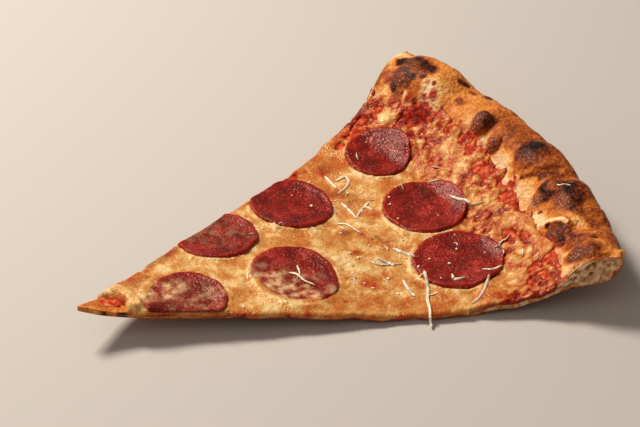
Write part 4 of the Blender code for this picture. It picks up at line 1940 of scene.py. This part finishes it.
        # Scraps of it redden towards their edges, and it is oranger along the near cut.
        thin += 0.3 * band * (1.0 - smooth_step(thick, -0.1, 0.8))
        near_cut = (angle + self.form.half_angle) * np.radians(1.0) * level
        thin += 0.08 * (1.0 - smooth_step(near_cut, 3.0, 16.0)) * smooth_step(level, 80.0, 120.0)
        thin -= 0.5 * self.foam(u, v, plan)
        attributes = {
            "thin": thin,
            # Toasted spots, and the painted shade beside folds and a bump.
            "brown": painted(np.zeros(len(u)), self.toast_and_shade, u, v, ragged),
        }
        piece = finish_piece("melted_cheese_layer", bm, finish.make(), attributes)
        join_frame(piece, "melted_cheese", "cheese")
        return piece


# --- What is scattered on top -----------------------------------------------------------------------------
@dataclass(frozen=True)
class Ground:
    """The finished surfaces under what is scattered on them."""

    trees: tuple[BVHTree, ...]
    form: SliceForm

    @classmethod
    def under(cls, pieces: Sequence[bpy.types.Object], form: SliceForm) -> "Ground":
        """Reads the surfaces of pieces.

        Args:
            pieces: What things may lie on.
            form: The slice's form.

        Returns:
            The ground.
        """
        trees = []
        for piece in pieces:
            bm = bmesh.new()
            bm.from_mesh(piece.data)
            trees.append(BVHTree.FromBMesh(bm))
            bm.free()
        return cls(tuple(trees), form)

    def height(self, u: float, v: float) -> float | None:
        """Height of the topmost surface at a place.

        Args:
            u: Distance from the tip.
            v: Distance from the middle line.

        Returns:
            Its height above the floor in millimetres, or nothing past the slice's edge.
        """
        start = Vector(((u - self.form.rest_radius) * MM, v * MM, 0.1))
        heights = []
        for tree in self.trees:
            hit = tree.ray_cast(start, Vector((0.0, 0.0, -1.0)))[0]
            if hit is not None:
                heights.append(hit.z / MM)
        return max(heights) if heights else None


@dataclass(frozen=True)
class Shreds:
    """Grated cheese: thin curled shreds and crumbs on the slice, one long shred over its near edge.

    Attributes:
        ground: What they lie on.
        long_ones: (u, v) places that each long shred runs through.
        widths: Least and greatest half width of a shred.
        small: How many short shreds are strewn.
        crumbs: How many crumbs are strewn.
    """

    ground: Ground
    widths: tuple[float, float] = (0.5, 0.8)
    small: int = 26
    crumbs: int = 45
    step: float = 0.7
    sides: int = 8
    flatness: float = 0.5
    seed: int = 7
    long_ones: tuple[tuple[tuple[float, float], ...], ...] = (
        ((141.6, 46.5), (141.3, 40.5), (141.7, 35.0)),
        ((144.0, 40.8), (149.1, 41.5), (148.3, 36.7), (143.3, 33.3), (140.2, 32.4)),
        ((137.8, 25.7), (138.2, 18.6), (137.9, 12.8)),
        ((137.9, 12.8), (144.9, 17.8), (147.2, 14.0)),
        ((144.9, 17.8), (148.7, 20.0)),
        ((129.0, 14.0), (132.2, 10.9), (133.5, 6.2), (134.7, 1.5)),
        ((127.2, -16.2), (130.0, -20.5), (138.3, -24.7)),
        ((130.7, -16.1), (133.6, -21.2), (134.8, -24.8)),
        ((140.5, -13.9), (142.8, -19.1), (144.7, -24.9)),
        ((180.9, 4.7), (182.3, -1.2), (184.6, -6.4), (188.4, -10.8)),
        ((163.0, 21.6), (166.2, 22.5), (165.7, 18.3)),
        ((176.9, -37.2), (178.9, -38.7), (178.1, -42.2), (176.5, -43.9)),
        ((164.4, -46.4), (168.2, -49.7), (173.7, -48.8)),
        ((152.5, -41.8), (151.4, -45.9), (156.1, -46.9)),
        ((133.0, -34.4), (131.8, -40.2), (131.6, -46.0)),
        ((163.7, -52.8), (158.6, -57.6), (153.9, -61.1), (149.2, -62.2)),
        ((179.4, -35.7), (182.6, -36.0), (185.9, -35.5)),
        ((91.0, -11.7), (93.5, -14.2), (94.1, -19.0), (96.6, -23.8)),
        ((96.6, -8.6), (94.9, -14.0), (92.1, -16.6)),
        ((208.2, -35.4), (209.4, -38.4), (211.6, -41.0)),
    )
    # The one that hangs over the near edge: (u, v, height above the floor), which counts beyond the edge.
    hanging: tuple[tuple[float, float, float], ...] = (
        (143.3, -34.4, 0.0),
        (139.0, -44.4, 0.0),
        (135.0, -50.5, 0.0),
        (132.6, -56.0, 6.2),
        (131.2, -58.6, 4.4),
        (130.2, -60.6, 2.0),
        (129.2, -63.4, 0.8),
    )

    @staticmethod
    def smooth_path(points: np.ndarray, step: float) -> np.ndarray:
        """Runs a smooth curve through points.

        Args:
            points: Places, one row each.
            step: Distance between the curve's own points.

        Returns:
            The curve's points.
        """
        ends = np.vstack([2 * points[0] - points[1], points, 2 * points[-1] - points[-2]])
        path = [points[0]]
        for a, b, c, d in zip(ends, ends[1:], ends[2:], ends[3:]):
            count = max(1, round(float(np.linalg.norm(c - b)) / step))
            for i in range(1, count + 1):
                t = i / count
                path.append(
                    0.5 * (2 * b + (c - a) * t + (2 * a - 5 * b + 4 * c - d) * t**2)
                    + 0.5 * (3 * b - a - 3 * c + d) * t**3
                )
        return np.array(path)

    def settle(self, path: np.ndarray, half: float) -> np.ndarray:
        """Rests a path of (u, v) points on the ground, stiff enough to bridge small dips.

        Args:
            path: The path in plan.
            half: Half the shred's thickness.

        Returns:
            The path as rows of x, y and z in millimetres.
        """
        heights = [self.ground.height(u, v) for u, v in path[:, :2]]
        known = [h for h in heights if h is not None]
        z = np.array([h if h is not None else min(known) for h in heights]) + half
        for _ in range(3):
            eased = z.copy()
            eased[1:-1] = (z[:-2] + z[1:-1] + z[2:]) / 3.0
            z = np.maximum(z, eased)
        z = np.minimum(z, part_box("dough")[1][2] / MM - 2.0 * half)
        return np.column_stack([path[:, 0] - self.ground.form.rest_radius, path[:, 1], z])

    def add_shred(self, bm: bmesh.types.BMesh, path: np.ndarray, half: float, twist: float) -> None:
        """Adds a shred, an oval drawn out along its path.

        Args:
            bm: The mesh that takes it.
            path: Its middle line in millimetres.
            half: Half its width.
            twist: Angle that it twists through.
        """
        made = bmesh.ops.create_circle(bm, cap_ends=True, radius=1.0, segments=self.sides)
        ring = made["verts"]
        cap = ring[0].link_faces[0]
        last = len(path) - 1
        before = Matrix.Identity(4)
        for i, place in enumerate(path):
            if i:
                made = bmesh.ops.extrude_face_region(bm, geom=[cap])["geom"]
                ring = [item for item in made if isinstance(item, bmesh.types.BMVert)]
                cap = next(item for item in made if isinstance(item, bmesh.types.BMFace))
            ahead = Vector(path[min(i + 1, last)] - path[max(i - 1, 0)])
            to_end = min(i, last - i) * self.step
            size = half * (0.35 + 0.65 * min(1.0, to_end / 1.6))
            turn = ahead.to_track_quat("Z", "Y").to_matrix().to_4x4()
            turn @= Matrix.Rotation(math.radians(twist) * i / last, 4, "Z")
            now = Matrix.Translation(place) @ turn @ Matrix.Diagonal((size, size * self.flatness, size, 1.0))
            bmesh.ops.transform(bm, matrix=now @ before.inverted(), verts=ring)
            before = now

    def add_crumb(
        self, bm: bmesh.types.BMesh, place: Vector, radius: float, draw: np.random.Generator
    ) -> None:
        """Adds a crumb, a rough little ball.

        Args:
            bm: The mesh that takes it.
            place: Its centre in millimetres.
            radius: Its mean radius.
            draw: Random numbers.
        """
        made = bmesh.ops.create_icosphere(bm, subdivisions=2, radius=radius)
        stretch = Vector((*draw.uniform(0.7, 1.7, 2), 0.5))
        turn = Matrix.Rotation(draw.uniform(0.0, math.pi), 3, "Z")
        for vert in made["verts"]:
            rough = 1.0 + 0.5 * noise.noise(vert.co * 1.5 / radius + place)
            vert.co = turn @ (vert.co * stretch * rough) + place

    def build(self, finish: GratedCheese) -> bpy.types.Object:
        """Builds and dresses the shreds and crumbs as one piece.

        Args:
            finish: The grated cheese's finish.

        Returns:
            The piece.
        """
        draw = np.random.default_rng(self.seed)
        bm = bmesh.new()
        for points in self.long_ones:
            half = draw.uniform(*self.widths)
            path = self.smooth_path(np.array(points), self.step)
            self.add_shred(bm, self.settle(path, half * 0.5), half, draw.uniform(-120.0, 120.0))
        path = self.smooth_path(np.array(self.hanging), self.step)
        laid = self.settle(path, 0.4)
        over_edge = np.array([self.ground.height(u, v) is None for u, v in path[:, :2]])
        laid[over_edge, 2] = path[over_edge, 2]
        self.add_shred(bm, laid, 0.72, 60.0)
        for _ in range(self.small):
            centre = self.scatter(draw)
            heading = draw.uniform(0.0, 2.0 * math.pi)
            length = draw.uniform(2.0, 6.0)
            bend = draw.uniform(-1.0, 1.0)
            ahead = np.array([math.cos(heading), math.sin(heading)])
            side = np.array([-ahead[1], ahead[0]])
            points = np.array([centre - ahead * length / 2, centre + side * bend, centre + ahead * length / 2])
            if any(self.ground.height(*point) is None for point in points):
                continue
            half = draw.uniform(0.32, 0.5)
            path = self.smooth_path(points, self.step)
            self.add_shred(bm, self.settle(path, half * 0.5), half, draw.uniform(-90.0, 90.0))
        for _ in range(self.crumbs):
            u, v = self.scatter(draw)
            radius = draw.uniform(0.22, 0.6)
            height = self.ground.height(u, v)
            if height is None:
                continue
            place = Vector((u - self.ground.form.rest_radius, v, height + radius * 0.4))
            self.add_crumb(bm, place, radius, draw)
        bmesh.ops.recalc_face_normals(bm, faces=bm.faces)
        piece = finish_piece("grated_cheese_shreds", bm, finish.make(), {})
        join_frame(piece, "grated_cheese")
        return piece

    def scatter(self, draw: np.random.Generator) -> np.ndarray:
        """Draws a place where grated cheese fell, thickest on the near half of the slice."""
        while True:
            distance = draw.uniform(60.0, 205.0)
            angle = math.radians(draw.uniform(-22.0, 22.0))
            place = np.array([distance * math.cos(angle), distance * math.sin(angle)])
            heap = math.exp(-(((place[0] - 140.0) / 32.0) ** 2) - ((place[1] + 12.0) / 36.0) ** 2)
            if draw.uniform() < 0.12 + heap:
                return place


@dataclass(frozen=True)
class Herbs:
    """Flakes of dried herb and pepper strewn on the slice.

    Attributes:
        ground: What they lie on.
        count: How many there are.
    """

    ground: Ground
    count: int = 40
    seed: int = 11

    def build(self, finish: DriedHerb) -> bpy.types.Object:
        """Builds and dresses the flakes as one piece.

        Args:
            finish: The herb's finish.

        Returns:
            The piece.
        """
        draw = np.random.default_rng(self.seed)
        bm = bmesh.new()
        for _ in range(self.count):
            distance = draw.uniform(0.15, 1.0) ** 0.5 * 205.0
            angle = math.radians(draw.uniform(-22.5, 22.5))
            u, v = distance * math.cos(angle), distance * math.sin(angle)
            height = self.ground.height(u, v)
            radius = draw.uniform(0.2, 0.42)
            made = bmesh.ops.create_icosphere(bm, subdivisions=1, radius=radius)
            stretch = Vector((draw.uniform(0.7, 1.8), draw.uniform(0.5, 1.0), 0.4))
            turn = Matrix.Rotation(draw.uniform(0.0, math.pi), 3, "Z")
            turn = turn @ Matrix.Rotation(draw.uniform(-0.5, 0.5), 3, "X")
            place = Vector((u - self.ground.form.rest_radius, v, height + 0.1))
            for vert in made["verts"]:
                vert.co = turn @ (vert.co * stretch) + place
        piece = finish_piece("dried_herb_flakes", bm, finish.make(), {})
        join_frame(piece, "dried_herb")
        return piece


# --- Studio ----------------------------------------------------------------------------------------------
@dataclass(frozen=True)
class Studio:
    """A pale floor, one soft lamp from behind on the left, a weak one in front and a camera.

    Attributes:
        aim: What the camera looks at, in millimetres.
        azimuth: The camera's direction round the slice, 0 looking along +Y.
        elevation: Its angle above the floor.
        roll: Its turn about its own line of sight.
        distance: Its distance from the aim.
        lens: Its focal length on a 36 mm sensor.
    """

    aim: tuple[float, float, float] = (-31.0, 11.5, 14.5)
    azimuth: float = -30.1
    elevation: float = 36.21
    roll: float = 0.75
    distance: float = 900.0
    lens: float = 118.2
    floor_size: float = 6.0
    key_azimuth: float = 200.0
    key_elevation: float = 50.0
    key_power: float = 19.0
    key_size: float = 0.34
    fill_azimuth: float = -70.0
    fill_elevation: float = 45.0
    fill_power: float = 2.5
    fill_size: float = 1.2
    lamp_distance: float = 1.3
    lamp_colour: str = "#fff3e6"
    sky: str = "#f0e2d4"
    sky_strength: float = 0.2

    @staticmethod
    def direction(azimuth: float, elevation: float) -> Vector:
        """Direction from the slice to something at an azimuth and elevation."""
        a, e = math.radians(azimuth), math.radians(elevation)
        return Vector((math.sin(a) * math.cos(e), -math.cos(a) * math.cos(e), math.sin(e)))

    def lamp(self, name: str, azimuth: float, elevation: float, power: float, size: float) -> None:
        """Adds a square lamp that faces the slice.

        Args:
            name: Its name.
            azimuth: Its direction round the slice.
            elevation: Its angle above the floor.
            power: Its power in watts.
            size: The length of its side in metres.
        """
        light = bpy.data.lights.new(name, "AREA")
        light.energy = power
        light.color = linear(self.lamp_colour)[:3]
        light.size = size
        lamp = bpy.data.objects.new(name, light)
        away = self.direction(azimuth, elevation)
        lamp.location = Vector(self.aim) * MM + away * self.lamp_distance
        lamp.rotation_euler = away.to_track_quat("Z", "Y").to_euler()
        bpy.context.scene.collection.objects.link(lamp)

    def build(self) -> None:
        """Adds the floor, the lights and the camera, and sets how the picture shows colours."""
        scene = bpy.context.scene
        bm = bmesh.new()
        bmesh.ops.create_grid(bm, x_segments=1, y_segments=1, size=self.floor_size / 2.0)
        mesh = bpy.data.meshes.new("studio_floor")
        bm.to_mesh(mesh)
        bm.free()
        mesh.materials.append(PaintedFloor().make())
        floor = bpy.data.objects.new("studio_floor", mesh)
        scene.collection.objects.link(floor)

        world = bpy.data.worlds.new("studio_air")
        world.use_nodes = True
        air = world.node_tree.nodes["Background"]
        air.inputs["Color"].default_value = linear(self.sky)
        air.inputs["Strength"].default_value = self.sky_strength
        scene.world = world
        self.lamp("key_lamp", self.key_azimuth, self.key_elevation, self.key_power, self.key_size)
        self.lamp("fill_lamp", self.fill_azimuth, self.fill_elevation, self.fill_power, self.fill_size)

        camera = bpy.data.objects.new("camera", bpy.data.cameras.new("camera"))
        camera.data.lens = self.lens
        camera.data.sensor_width = 36.0
        back = self.direction(self.azimuth, self.elevation)
        turned = back.to_track_quat("Z", "Y").to_matrix() @ Matrix.Rotation(math.radians(self.roll), 3, "Z")
        camera.matrix_world = Matrix.Translation((Vector(self.aim) + back * self.distance) * MM) @ turned.to_4x4()
        scene.collection.objects.link(camera)
        scene.camera = camera
        scene.view_settings.view_transform = "Standard"


def main() -> None:
    """Builds the slice's pieces in order, then the studio."""
    logging.basicConfig(level=logging.INFO, format="%(name)s: %(message)s")
    form = SliceForm()
    toppings = Toppings()
    dough = Dough(form, toppings).build(BakedDough())
    sauce = Sauce(form, toppings).build(TomatoSauce())
    cheese = Cheese(form, toppings).build(MeltedCheese())
    rounds = Sausage(form, toppings).build(CuredSausage())
    ground = Ground.under([dough, sauce, cheese, *rounds], form)
    Shreds(ground).build(GratedCheese())
    Herbs(ground).build(DriedHerb())
    Studio().build()


if __name__ == "__main__":
    main()
